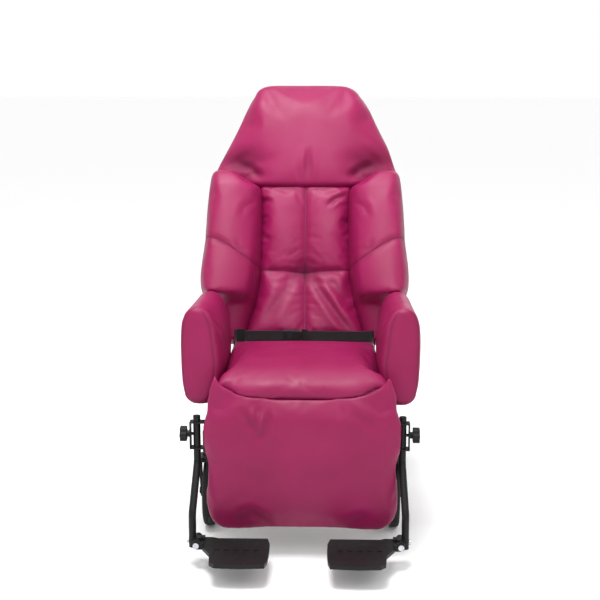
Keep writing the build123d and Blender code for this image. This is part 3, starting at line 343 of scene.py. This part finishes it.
# %% Camera
EYE_BACK = 3180        # from the armrests' faces
EYE_UP = 1336
EYE_SIDE = 87
LOOK_DOWN = 11.25      # degrees
LENS_REACH = 2.02      # focal length in image widths
SENSOR = 36            # millimetres
lens = bpy.data.cameras.new("camera")
lens.sensor_width = SENSOR
lens.lens = SENSOR * LENS_REACH
eye = bpy.data.objects.new("camera", lens)
eye.location = on_chair([EYE_SIDE, -EYE_BACK, EYE_UP])
eye.rotation_euler = (math.radians(90 - LOOK_DOWN), 0, math.atan2(EYE_SIDE, EYE_BACK))
scene.collection.objects.link(eye)
scene.camera = eye
print("camera", [round(v, 3) for v in eye.location])

# %% [markdown]
# ## How a cushion is made here
# On the bench a cushion is a block of foam, cut to shape, with a sewn cover pulled over it. The
# seams hold the cover down and the foam pushes it up between them, and that push is what makes a
# cushion look soft. So each one starts as a plain slab with rounded rims, slightly thin. It is
# remeshed into even little faces, its seams are pinned, and cloth with air pressure under it swells
# the rest. A lattice or a sculpted bump could fake the swell, but the pinned cloth also puckers
# along the seams by itself, as the real cover does.

# %% Curves and easing
def through(points, share):
    """Points on the smooth line through the listed points, at the given shares of its length."""
    points = np.asarray(points, float)
    steps = np.r_[0, np.cumsum(np.linalg.norm(np.diff(points, axis=0), axis=1))]
    where = np.clip(np.asarray(share, float), 0, 1) * steps[-1]
    slopes = np.gradient(points, steps, axis=0)
    left = np.clip(np.searchsorted(steps, where, "right") - 1, 0, len(points) - 2)
    span = steps[left + 1] - steps[left]
    f = ((where - steps[left]) / span)[..., None]
    span = span[..., None]
    return ((2 * f**3 - 3 * f**2 + 1) * points[left]
            + (f**3 - 2 * f**2 + f) * span * slopes[left]
            + (3 * f**2 - 2 * f**3) * points[left + 1]
            + (f**3 - f**2) * span * slopes[left + 1])


def ease(value, low, high):
    """0 below low, 1 above high, and a soft S between them."""
    f = np.clip((np.asarray(value, float) - low) / (high - low), 0, 1)
    return f * f * (3 - 2 * f)


def dome(distance, radius, power=2.0):
    """The rounding of a rim: 0 at the edge, 1 from radius inwards."""
    f = np.clip(np.asarray(distance, float) / radius, 0, 1)
    return (1 - (1 - f) ** power) ** (1 / power)


def line_distance(points, path):
    """How far each point lies from a polyline, and how far along it, 0 to 1."""
    points = np.asarray(points, float)
    path = np.asarray(path, float)
    lengths = np.linalg.norm(np.diff(path, axis=0), axis=1)
    nearest = np.full(len(points), 1e9)
    along = np.zeros(len(points))
    for index, length in enumerate(lengths):
        run = path[index + 1] - path[index]
        f = np.clip(((points - path[index]) @ run) / max(length**2, 1e-9), 0, 1)
        far = np.linalg.norm(points - path[index] - f[:, None] * run, axis=1)
        closer = far < nearest
        nearest = np.where(closer, far, nearest)
        along = np.where(closer, (lengths[:index].sum() + f * length) / lengths.sum(), along)
    return nearest, along


# %% From numbers to a mesh, and back
def new_piece(name, points, faces):
    mesh = bpy.data.meshes.new(name)
    mesh.from_pydata([tuple(p) for p in points], [], faces)
    mesh.validate()
    piece = bpy.data.objects.new(name, mesh)
    scene.collection.objects.link(piece)
    return piece


def points_of(piece):
    flat = np.zeros(len(piece.data.vertices) * 3, np.float32)
    piece.data.vertices.foreach_get("co", flat)
    return flat.reshape(-1, 3).astype(float)


def move_points(piece, points):
    piece.data.vertices.foreach_set("co", np.asarray(points, np.float32).ravel())
    piece.data.update()


def normals_of(piece):
    flat = np.zeros(len(piece.data.vertices) * 3, np.float32)
    piece.data.vertices.foreach_get("normal", flat)
    return flat.reshape(-1, 3).astype(float)


def apply_modifiers(piece):
    """Keeps the shape that the piece's modifiers give, and drops them."""
    evaluated = piece.evaluated_get(bpy.context.evaluated_depsgraph_get())
    shaped = bpy.data.meshes.new_from_object(evaluated)
    piece.modifiers.clear()
    old = piece.data
    piece.data = shaped
    bpy.data.meshes.remove(old)


# %% The slab that a cushion starts from
ROWS = 56              # points along a slab
COLUMNS = 56           # points across it


def slab(name, plan, height, floor_height, rim, wall, power=2.0):
    """A closed slab in panel axes, in mm. plan(s, t) gives (u, v) for s from -1 to 1 and t from 0
    to 1, height and floor_height give the upper and lower surfaces at (u, v), rim(u, v) the
    rounding at the sides and at the ends, and wall the straight side below it."""
    s, t = np.meshgrid(np.sin(np.linspace(-1, 1, COLUMNS) * math.pi / 2),
                       (1 + np.sin(np.linspace(-1, 1, ROWS) * math.pi / 2)) / 2)
    u, v = plan(s, t)
    low = floor_height(u, v)
    across = np.abs(u - u[:, :1])
    across = np.minimum(across, np.abs(u - u[:, -1:]))
    along = np.hypot(u - u[:1], v - v[:1])
    along = np.minimum(along, np.hypot(u - u[-1:], v - v[-1:]))
    side_rim, end_rim = rim(u, v)
    swell = dome(across, side_rim, power) * dome(along, end_rim, power)
    top = low + wall + (height(u, v) - low - wall) * swell
    upper = np.c_[u.ravel(), v.ravel(), top.ravel()]
    lower = np.c_[u.ravel(), v.ravel(), low.ravel()]
    index = np.arange(ROWS * COLUMNS).reshape(ROWS, COLUMNS)
    under = index + index.size
    faces = []
    for r in range(ROWS - 1):
        for c in range(COLUMNS - 1):
            quad = (r, c), (r, c + 1), (r + 1, c + 1), (r + 1, c)
            faces.append([index[k] for k in quad])
            faces.append([under[k] for k in reversed(quad)])
    border = [*index[0, :-1], *index[:-1, -1], *index[-1, :0:-1], *index[:0:-1, 0]]
    for a, b in zip(border, border[1:] + border[:1]):
        faces.append([a, a + index.size, b + index.size, b])
    return new_piece(name, np.r_[upper, lower] * MM, [[int(i) for i in face] for face in faces])


# %% Even faces, then pressure
FULL_WEIGHT = 1.0      # of a point in its vertex group


def relax(piece, times):
    smooth = piece.modifiers.new("smooth", "SMOOTH")
    smooth.factor = 0.5
    smooth.iterations = times
    apply_modifiers(piece)


def remesh(piece, size):
    even = piece.modifiers.new("even", "REMESH")
    even.mode = "VOXEL"
    even.voxel_size = size * MM
    apply_modifiers(piece)
    relax(piece, 6)


def swell(piece, held, pressure, slack, cap, frames=20, calm=2):
    """Cloth with air under it: held marks the pinned points, slack is spare cloth, cap the most a
    point may move, and calm how often the small wrinkles are smoothed."""
    before = points_of(piece)
    pins = piece.vertex_groups.new(name="pins")
    pins.add([int(i) for i in np.nonzero(held)[0]], FULL_WEIGHT, "REPLACE")
    cloth = piece.modifiers.new("cloth", "CLOTH")
    cloth.settings.quality = 4
    cloth.settings.mass = 0.35
    cloth.settings.tension_stiffness = 12
    cloth.settings.compression_stiffness = 12
    cloth.settings.shear_stiffness = 4
    cloth.settings.bending_stiffness = 0.6
    cloth.settings.vertex_group_mass = "pins"
    cloth.settings.use_pressure = True
    cloth.settings.uniform_pressure_force = pressure
    cloth.settings.shrink_min = -slack
    cloth.settings.effector_weights.gravity = 0
    cloth.collision_settings.use_collision = False
    cloth.point_cache.frame_end = frames
    for step in range(1, frames + 1):
        scene.frame_set(step)
    apply_modifiers(piece)
    scene.frame_set(1)
    moved = points_of(piece) - before
    far = np.linalg.norm(moved, axis=1, keepdims=True)
    limit = cap * MM
    move_points(piece, before + moved * limit * np.tanh(far / limit) / np.maximum(far, 1e-9))
    piece.vertex_groups.clear()
    relax(piece, calm)
    print(f"{piece.name}: {len(before)} points, {int(held.sum())} pinned, "
          f"swelled {far.mean() / MM:.1f} mm on average")


def refine(piece):
    finer = piece.modifiers.new("finer", "SUBSURF")
    finer.levels = 1
    finer.render_levels = 1
    apply_modifiers(piece)


# %% [markdown]
# ## Seams and tucks
# A seam is a narrow trench where two panels are sewn together, in a wider soft valley. Tucks and
# pulled folds are wider, fade out at their ends, and have a low ridge along them. Both are pressed into
# the swollen cushion along lines drawn on its panel, and what they press is noted in a mark of
# painted shade, which darkens the cloth's colour there to stand for the shade in the trench.

# %% Pressing lines into a cushion
class Press:
    """Collects how deep each point is to be pressed, then moves the points inwards along the
    panel's thickness."""

    def __init__(self, piece, facing=0.15):
        self.piece = piece
        self.points = points_of(piece)
        self.flat = self.points[:, :2] / MM
        self.front = ease(normals_of(piece)[:, 2], facing - 0.15, facing + 0.25)
        self.depth = np.zeros(len(self.points))
        # dark collects the painted shade of each seam, fold and hollow: how far the cloth's colour is darkened
        # there to stand for shade.
        self.dark = np.zeros(len(self.points))

    def seam(self, path, depth=2.6, width=2.2, valley=3.5, spread=11.0, dark=0.34):
        far, _ = line_distance(self.flat, path)
        wide = np.exp(-((far / spread) ** 2))
        self.depth += depth * np.exp(-((far / width) ** 2)) + valley * wide
        self.dark += dark * np.exp(-((far / (width * 0.9)) ** 2)) + 0.16 * wide

    def fold(self, path, depth, width, dark=0.3, fade=0.35, ridge=0.4):
        """A trench that fades at both ends, with a low ridge of gathered cloth on each side."""
        far, along = line_distance(self.flat, path)
        taper = ease(along, 0, fade) * ease(1 - along, 0, fade)
        trench = np.exp(-((far / width) ** 2)) * taper
        bank = np.exp(-(((far - 2.0 * width) / width) ** 2)) * taper
        self.depth += depth * (trench - ridge * bank)
        self.dark += dark * trench

    def hollow(self, centre, radius, depth, dark=0.2):
        far = np.linalg.norm((self.flat - centre) / np.broadcast_to(radius, 2), axis=1)
        dent = np.exp(-(far**2))
        self.depth += depth * dent
        self.dark += dark * dent

    def done(self):
        self.points[:, 2] -= self.depth * self.front * MM
        move_points(self.piece, self.points)
        # The painted shade is kept as a mark on each point, which darkens the cloth's colour and roughens it.
        mark = self.piece.data.attributes.new("tuck", "FLOAT", "POINT")
        mark.data.foreach_set("value", np.clip(self.dark * self.front, 0, 1).astype(np.float32))


def upholster(piece, lay, material=None):
    """Lays a finished cushion on the chair and gives it its cloth."""
    points = points_of(piece) / MM
    move_points(piece, lay(points))
    for face in piece.data.polygons:
        face.use_smooth = True
    piece.data.materials.clear()
    piece.data.materials.append(material or vinyl)
    bm = bmesh.new()
    bm.from_mesh(piece.data)
    bmesh.ops.recalc_face_normals(bm, faces=bm.faces)
    bm.to_mesh(piece.data)
    bm.free()


def lay_on_back(points):
    u, v, w = points.T
    return on_back(np.c_[u, BOARD_FACE - w, v])


def mirrored(piece, name):
    """The same cushion for the chair's other side, while it still lies in its panel axes."""
    copy = piece.copy()
    copy.data = piece.data.copy()
    copy.name = name
    copy.data.name = name
    scene.collection.objects.link(copy)
    points = points_of(copy)
    points[:, 0] *= -1
    copy.data.flip_normals()
    move_points(copy, points)
    return copy


# %% [markdown]
# ## The headrest cushion
# The headrest is one wide cushion that narrows upwards and reaches down over the shoulders of the
# side bolsters. Its lower edge is sewn to the back cushion in the middle and tucks in above each
# bolster, where the deepest shade is. A soft pleat runs up from the middle of the seam, because the
# cover is a little too wide there.

# %% Headrest
SEAM_LAP = 7           # how far headrest and back cushion reach past their seam
HEAD_SEAM = 524
HEAD_TOP = 858
HEAD_SIDE = [(298, 560), (284, 586), (261, 626), (240, 664), (221, 700), (199, 748),
             (182, 790), (171, 818), (155, 843), (130, 855), (106, 858)]


def head_plan(s, t):
    side = through(HEAD_SIDE, t)
    middle = HEAD_SEAM - SEAM_LAP + t * (HEAD_TOP - HEAD_SEAM + SEAM_LAP)
    fuller = 1 + 0.07 * ease(s, 0.2, 1.0) * ease(t, 0.05, 0.35) * ease(1 - t, 0.05, 0.35)
    return s * side[..., 0] * fuller, middle + (side[..., 1] - middle) * np.abs(s) ** 4


def head_height(u, v):
    crown = 92 - 26 * ease(v, 770, 860) - 7 * (u / 260) ** 2
    return crown - 22 * ease(np.abs(u), 120, 240) * ease(680 - v, 0, 110)


def head_rim(u, v):
    rounding = 13 + 22 * ease(np.abs(u), 130, 200) + 14 * ease(v, 540, 620)
    return rounding, rounding


def flat_floor(u, v):
    return np.zeros_like(u)


def front_of(piece):
    return points_of(piece)[:, 2] > 6 * MM


headrest = slab("headrest_upholstery", head_plan, head_height, flat_floor, head_rim, 34)
remesh(headrest, 6)
on_seam = np.abs(points_of(headrest)[:, 1] / MM - HEAD_SEAM) < 7
swell(headrest, ~front_of(headrest) | on_seam, 2.4, 0.0, 24, calm=14)
refine(headrest)
press = Press(headrest)
press.fold([(0, 524), (3, 560), (8, 606), (12, 655)], 5.5, 9, 0.30, 0.5)
press.fold([(12, 526), (20, 575), (24, 622)], 2.6, 7, 0.14, 0.5)
press.fold([(-14, 528), (-20, 560), (-22, 600)], 2.0, 8, 0.10, 0.5)
# Each hollow above a bolster is dented and given the strongest painted shade.
for side, higher in ((1, 0), (-1, 8)):
    press.hollow((side * 205, 592 + higher), (62, 33), 19, 0.6)
    press.hollow((side * 160, 560), (34, 22), 9, 0.22)
    press.fold([(side * 128, 540), (side * 170, 580), (side * 226, 604)], 4.5, 10, 0.2)
press.seam([(-150, HEAD_SEAM - 2), (0, HEAD_SEAM - 4), (150, HEAD_SEAM - 2)], 2.0, 3, 2, 12)
press.done()
upholster(headrest, lay_on_back)
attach(headrest, "back")
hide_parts("headrest_cushion")

# %% [markdown]
# ## The back cushion
# The middle of the back is a narrow cushion, quartered by a centre seam and a cross seam. Where
# they meet, a button's worth of thread pulls the cover inwards, and the cloth below fans out in
# long folds towards the corners of the seat.

# %% Back cushion
BACK_CROSS = 254       # height of the cross seam
BACK_FOOT = 28
PANEL = 146            # half width above the cross seam
FLARE = 192            # half width at the foot


def back_plan(s, t):
    v = BACK_FOOT + t * (HEAD_SEAM + SEAM_LAP - BACK_FOOT)
    half = PANEL + 3 + (FLARE - PANEL) * ease(BACK_CROSS - v, -12, 236)
    return s * half, v


def back_height(u, v):
    return 80 + 24 * ease(BACK_CROSS - v, 0, 230) - 4 * (u / 150) ** 2


def back_rim(u, v):
    return 24 - 6 * ease(v, 400, 500), 24 - 12 * ease(v, 470, 510)


back_cushion = slab("back_upholstery", back_plan, back_height, flat_floor, back_rim, 26)
remesh(back_cushion, 6)
flat = points_of(back_cushion) / MM
cross_far = np.abs(flat[:, 1] - BACK_CROSS)
middle_far = np.abs(flat[:, 0])
sewn = (cross_far < 4) | (middle_far < 4) | (flat[:, 1] > HEAD_SEAM - 6)
swell(back_cushion, ~front_of(back_cushion) | sewn, 2.6, 0.02, 22)
refine(back_cushion)
press = Press(back_cushion)
press.seam([(0, HEAD_SEAM), (1, 400), (0, BACK_CROSS), (2, 120), (0, 20)], 2.4, 2.4, 4, 11)
press.seam([(-160, BACK_CROSS + 5), (-60, BACK_CROSS - 1), (0, BACK_CROSS - 4),
            (70, BACK_CROSS), (160, BACK_CROSS + 5)], 2.2, 2.4, 3, 10)
press.hollow((0, BACK_CROSS), (46, 36), 13, 0.5)
press.fold([(14, 244), (58, 178), (108, 106), (160, 40)], 6.0, 12, 0.26, 0.3, 0.5)
press.fold([(60, 246), (112, 182), (150, 126)], 3.6, 14, 0.14, 0.4, 0.4)
press.fold([(-26, 244), (-72, 176), (-130, 84)], 4.6, 16, 0.20, 0.3, 0.4)
press.fold([(60, 452), (96, 482), (146, 500)], 5.5, 8, 0.30, 0.35, 0.5)
press.fold([(-96, 470), (-122, 478), (-148, 472)], 3.4, 7, 0.2, 0.4)
press.fold([(-110, 430), (-128, 424), (-146, 432)], 2.6, 6, 0.16, 0.4)
press.fold([(-104, 352), (-126, 362), (-146, 384)], 3.0, 7, 0.18, 0.4)
press.fold([(112, 360), (130, 372), (147, 396)], 2.6, 7, 0.16, 0.4)
press.fold([(108, 420), (128, 412), (146, 418)], 2.2, 6, 0.14, 0.4)
press.done()
upholster(back_cushion, lay_on_back)
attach(back_cushion, "back")
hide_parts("back_cushion")

# %% [markdown]
# ## The side bolsters
# A bolster is a fat wedge: shallow where it meets the back cushion, and standing a hand's width
# forward at its outer side, so that it holds the sitter's trunk. Its lower edge arches over the
# armrest, and only a narrow strand runs on down to the seat. One curved seam crosses it. The right
# one is the left one mirrored.

# %% Bolsters
STRAND = 260           # outer side of the strand behind the armrest
ARM_ARCH = 172         # where the bolster arches over the armrest
BOLSTER_TOP = 572
BOLSTER_LAP = 10       # how far it reaches over the back cushion
BOLSTER_EDGE = [(318, 168), (324, 235), (314, 335), (308, 430), (301, 515), (297, 552), (290, 574)]


def bolster_inner(v):
    return PANEL - BOLSTER_LAP + (FLARE - PANEL) * ease(BACK_CROSS - v, -12, 236)


def bolster_plan(s, t):
    v = BACK_FOOT + t * (BOLSTER_TOP - BACK_FOOT)
    inner = bolster_inner(v)
    edge = np.interp(v, [p[1] for p in BOLSTER_EDGE], [p[0] for p in BOLSTER_EDGE])
    outer = STRAND + (edge - STRAND) * ease(v, ARM_ARCH - 26, ARM_ARCH + 4)
    u = inner + (outer - inner) * (s + 1) / 2
    over_arm = np.clip((u - STRAND) / (313 - STRAND), 0, 1)
    arch = 8 * np.sin(math.pi * over_arm ** 0.8) * np.exp(-(((v - ARM_ARCH) / 45) ** 2))
    slope = ease(v, 470, BOLSTER_TOP) * -46 * ease(240 - u, 0, 92)
    return u, v + arch + slope


def bolster_height(u, v):
    inner = bolster_inner(v)
    crest = np.interp(v, [27, 150, 176, 229, 335, 520, 566], [138, 150, 226, 214, 192, 162, 140])
    valley = np.interp(v, [27, 180, 300, 566], [118, 124, 122, 116])
    return valley + (crest - valley) * dome(u - inner - 4, 120)


def bolster_rim(u, v):
    side = 34 - 8 * ease(v, 500, 560) - 12 * ease(170 - v, 0, 20)
    return side, 12 + 12 * ease(v, 160, 220) - 6 * ease(v, 520, 560)


bolster = slab("bolster_left_upholstery", bolster_plan, bolster_height, flat_floor, bolster_rim, 26, 2.3)
remesh(bolster, 6)
BOLSTER_SEAM = [(334, 352), (300, 350), (268, 341), (232, 322), (194, 297), (158, 272), (130, 256)]
flat = points_of(bolster) / MM
seam_far, _ = line_distance(flat[:, :2], BOLSTER_SEAM)
swell(bolster, ~front_of(bolster) | (seam_far < 3), 2.4, 0.0, 13)
refine(bolster)
bolster_right = mirrored(bolster, "bolster_right_upholstery")
for piece, side in ((bolster, 1), (bolster_right, -1)):
    press = Press(piece, 0.05)
    press.seam([(side * u, v) for u, v in BOLSTER_SEAM], 2.6, 2.6, 4, 12)
    press.fold([(side * 166, 470), (side * 190, 440), (side * 196, 400)], 2.4, 10, 0.12, 0.4)
    press.fold([(side * 168, 300), (side * 196, 316), (side * 214, 350)], 2.4, 9, 0.12, 0.4)
    press.done()
    upholster(piece, lay_on_back)
    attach(piece, "back")
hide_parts("bolster_left")
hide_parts("bolster_right")

# %% [markdown]
# ## The seat cushion
# The seat is a firm cushion with a rolled nose, whose cover is pulled a little further out on one
# side. The front of its top panel is sewn to the legrest's cover along a shallow smile, so the nose
# has rounded lower corners.

# %% Seat cushion
SEAT_REAR = 449
NOSE_FRONT = -71
SEAT_BASE = 412.5
NOSE_HALF = 223
CORE_HALF = 222


def fuller_left(u):
    """The cover is pulled a little further out on the sitter's left."""
    return u * (1 + 0.06 * ease(u, 0, 130))


def seat_plan(s, t):
    v = NOSE_FRONT + t * (SEAT_REAR - NOSE_FRONT)
    half = CORE_HALF + (NOSE_HALF - CORE_HALF) * ease(-v, -14, 12)
    pulled = 16 * ease(np.abs(s), 0.62, 1.0) * ease(0.10 - t, 0, 0.10)
    u = s * half
    return u + (fuller_left(u) - u) * ease(-v, -14, 12), v + pulled


def smile(u):
    """How far the nose's lower edge stands above its middle."""
    return 6 * ease(np.abs(u), 70, 160) + 22 * ease(np.abs(u), 140, 214) ** 1.5


def seat_floor(u, v):
    return (24 + smile(u)) * ease(-v, -10, 6)


def seat_height(u, v):
    crown = 10 * (1 - (u / 230) ** 2) * ease(v, -60, 120) * ease(460 - v, 0, 120)
    return 86 - 13 * ease(v, 0, 450) + crown - 12 * ease(-v, 20, 75)


def seat_rim(u, v):
    return 16 + 4 * ease(-v, -30, 20), 20 + 30 * ease(-v, -30, 20)


def lay_seat(points):
    u, v, w = points.T
    return on_chair(np.c_[u, v, SEAT_BASE + w])


seat = slab("seat_upholstery", seat_plan, seat_height, seat_floor, seat_rim, 7, 2.4)
remesh(seat, 6)
flat = points_of(seat) / MM
swell(seat, (flat[:, 2] < 8) | (flat[:, 1] > 430), 2.2, 0.0, 20, calm=7)
refine(seat)
press = Press(seat)
press.fold([(-205, 120), (-150, 60), (-90, 36)], 1.2, 22, 0.03)
press.fold([(200, 130), (150, 66), (80, 30)], 1.0, 24, 0.03)
press.done()
upholster(seat, lay_seat)
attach(seat, "seat")
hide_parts("seat_cushion")

# %% [markdown]
# ## The calf pad and its apron
# The legrest's pad is covered by the same cloth as the seat's nose: the cover starts at the smile
# seam, with an ear up each side of the nose, runs down over the pad and is gathered under its lower
# edge. It crosses the legrest's hinge; here it is left as one fixed piece, attached to neither the
# seat nor the legrest, and it does not bend.

# %% Calf pad
PAD_LOW = 82
PAD_BACK = -58
PAD_EDGE = [(206, 84), (222, 90), (238, 104), (249, 130), (253, 175), (249, 225), (248, 262), (257, 300),
            (260, 341), (257, 378), (249, 405), (247, 436), (240, 470), (229, 502)]


def pad_plan(s, t):
    side = through(PAD_EDGE, t)
    u = s * side[..., 0]
    top = 449 + smile(u) * 1.25 + 26 * ease(np.abs(u), 206, 226)
    low = PAD_LOW - 4 * ease(np.abs(u), 90, 160) * ease(230 - np.abs(u), 0, 60)
    level = (side[..., 1] - PAD_EDGE[0][1]) / (PAD_EDGE[-1][1] - PAD_EDGE[0][1])
    middle = low + level * (top - low)
    return fuller_left(u), middle


def pad_height(u, v):
    belly = 5 * ease(v, 90, 200) * ease(400 - v, 0, 160) * (1 - (u / 270) ** 2)
    return 24 - 9 * ease(v, 396, 438) + belly - 5 * ease(150 - v, 0, 60)


def pad_rim(u, v):
    return 14 + 8 * ease(360 - v, 0, 60), 7 + 17 * ease(400 - v, 0, 60)


def lay_pad(points):
    u, v, w = points.T
    return on_chair(np.c_[u, PAD_BACK - w, v])


pad = slab("legrest_upholstery", pad_plan, pad_height, flat_floor, pad_rim, 5, 2.0)
remesh(pad, 6)
flat = points_of(pad) / MM
swell(pad, flat[:, 2] < 4, 1.2, 0.01, 12, calm=5)
refine(pad)
press = Press(pad)
press.fold([(-160, 434), (-146, 405), (-118, 368), (-110, 330)], 4.0, 10, 0.16, 0.35, 0.5)
press.fold([(-104, 434), (-112, 404), (-122, 372)], 3.6, 8, 0.14, 0.35, 0.5)
press.fold([(-98, 436), (-84, 400), (-92, 360), (-120, 326)], 3.6, 9, 0.14, 0.35, 0.5)
press.fold([(120, 430), (160, 400), (214, 372)], 2.4, 12, 0.10, 0.4, 0.4)
press.fold([(-196, 300), (-150, 250), (-60, 226)], 1.6, 22, 0.05)
press.fold([(150, 260), (60, 236), (-20, 240)], 1.4, 24, 0.04)
press.fold([(-186, 92), (-140, 132), (-96, 148)], 4.0, 16, 0.20, 0.4)
press.fold([(-70, 88), (-96, 118), (-140, 140)], 3.6, 13, 0.18, 0.4)
press.fold([(120, 90), (160, 120), (206, 132)], 2.6, 14, 0.12, 0.4)
press.hollow((-120, 120), (60, 26), 4, 0.14)
press.done()
upholster(pad, lay_pad)
on_chair([0, -66, 440])
on_chair([0, -66, 350])
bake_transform(pad)
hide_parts("legrest_pad")

# %% [markdown]
# ## The armrests
# Each armrest is a foam block with a sewn cover: a front panel with a seam round its edge, and a
# sleeve that runs back under the bolster.

# %% Armrests
ARM_LENGTH = 399
ARM_DROP = math.radians(4)
ARM_MIDDLE = 550
ARM_INNER = [(250, 413), (236, 426), (226, 450), (220, 480), (218, 520), (222, 560),
             (227, 600), (234, 636), (247, 664)]
ARM_OUTER = [(296, 413), (312, 426), (320, 452), (324, 490), (326, 545), (326, 600),
             (322, 642), (312, 664), (299, 676)]


def arm_plan(s, t):
    inner = through(ARM_INNER, t)
    outer = through(ARM_OUTER, t)
    share = (s + 1) / 2
    u = inner[..., 0] + (outer[..., 0] - inner[..., 0]) * share
    v = inner[..., 1] + (outer[..., 1] - inner[..., 1]) * share
    crown = 9 * np.sin(math.pi * share) * ease(t, 0.72, 1.0)
    return u, v + crown - 3 * np.sin(math.pi * share) * ease(0.2 - t, 0, 0.2)


def arm_height(u, v):
    return np.full_like(u, ARM_LENGTH - 6.0)


def arm_rim(u, v):
    return 25 - 11 * ease(u, 250, 285), np.full_like(u, 14.0)


def lay_arm(points):
    u, v, w = points.T
    depth = ARM_LENGTH - w
    rise = v - ARM_MIDDLE
    return on_chair(np.c_[u, depth * math.cos(ARM_DROP) + rise * math.sin(ARM_DROP),
                          ARM_MIDDLE + rise * math.cos(ARM_DROP) - depth * math.sin(ARM_DROP)])


arm = slab("armrest_left_upholstery", arm_plan, arm_height, flat_floor, arm_rim, ARM_LENGTH - 18, 2.0)
remesh(arm, 7)
flat = points_of(arm) / MM
rim_in = through(ARM_INNER, np.linspace(0, 1, 30)) + (15, 0)
rim_out = through(ARM_OUTER, np.linspace(0, 1, 30)) - (7, 0)
ARM_WELT = np.r_[rim_in, [(262, 672), (274, 677), (287, 677)], rim_out[::-1]]
welt_far, _ = line_distance(flat[:, :2], ARM_WELT)
swell(arm, (flat[:, 2] < 20) | ((welt_far < 5) & (flat[:, 2] > ARM_LENGTH - 16)), 2.2, 0.0, 13)
refine(arm)
arm_right = mirrored(arm, "armrest_right_upholstery")
for piece, side in ((arm, 1), (arm_right, -1)):
    press = Press(piece, 0.6)
    press.seam([(side * u, v) for u, v in ARM_WELT], 1.6, 2.4, 1.0, 8, 0.3)
    press.done()
    upholster(piece, lay_arm)
    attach(piece, "seat")
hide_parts("armrest_left")
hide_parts("armrest_right")

# %% [markdown]
# ## The lap belt
# Each half of the belt is woven polyester webbing with a thicker edge. It runs from its anchor
# beside the seat, round a soft bend and across to the buckle. A strap this thin would be eaten by
# remeshing, so it is swept directly, with its length and width marked for the weave.

# %% Straps
STRAP_WIDTH = 32.0
STRAP_THICK = 2.0
STRAP_MIDDLE = 506.5
PROFILE = [(-0.5, -0.30), (-0.47, -0.5), (-0.40, -0.40), (0.40, -0.40), (0.47, -0.5), (0.5, -0.30),
           (0.5, 0.30), (0.47, 0.5), (0.40, 0.40), (-0.40, 0.40), (-0.47, 0.5), (-0.5, 0.30)]


def strap(name, path, sag):
    """Sweeps the webbing's section along a line of (x, y) points, in mm. sag is how far the middle hangs."""
    count = 90
    line = through(path, np.linspace(0, 1, count))
    share = np.linspace(0, 1, count)
    run = np.gradient(line, axis=0)
    run /= np.linalg.norm(run, axis=1, keepdims=True)
    side = np.c_[run[:, 1], -run[:, 0]]
    length = np.r_[0, np.cumsum(np.linalg.norm(np.diff(line, axis=0), axis=1))]
    drop = sag * np.sin(math.pi * share)
    points, along, across = [], [], []
    for i in range(count):
        for high, deep in PROFILE:
            place = line[i] + side[i] * deep * STRAP_THICK
            points.append((place[0], place[1], STRAP_MIDDLE - drop[i] + high * STRAP_WIDTH))
            along.append(length[i] * MM)
            across.append(high * STRAP_WIDTH * MM)
    ring = len(PROFILE)
    faces = [[i * ring + k, i * ring + (k + 1) % ring,
              (i + 1) * ring + (k + 1) % ring, (i + 1) * ring + k]
             for i in range(count - 1) for k in range(ring)]
    faces += [list(range(ring)), [(count - 1) * ring + k for k in reversed(range(ring))]]
    piece = new_piece(name, on_chair(np.array(points)), faces)
    for mark, values in (("along", along), ("across", across)):
        piece.data.attributes.new(mark, "FLOAT", "POINT").data.foreach_set("value", values)
    upholster(piece, lambda p: p * MM, webbing)
    return piece


left_strap = strap("belt_strap_left", [
    (-1, 431), (120, 431), (190, 432), (207, 436), (213, 446), (214, 474)], 1.5)
right_strap = strap("belt_strap_right", [
    (-55, 431), (-120, 431), (-190, 431.4), (-207, 436), (-213, 446), (-214, 474)], 0.6)
for piece, node in ((left_strap, "belt_webbing_left"), (right_strap, "belt_webbing_right")):
    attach(piece, "seat")
    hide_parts(node)
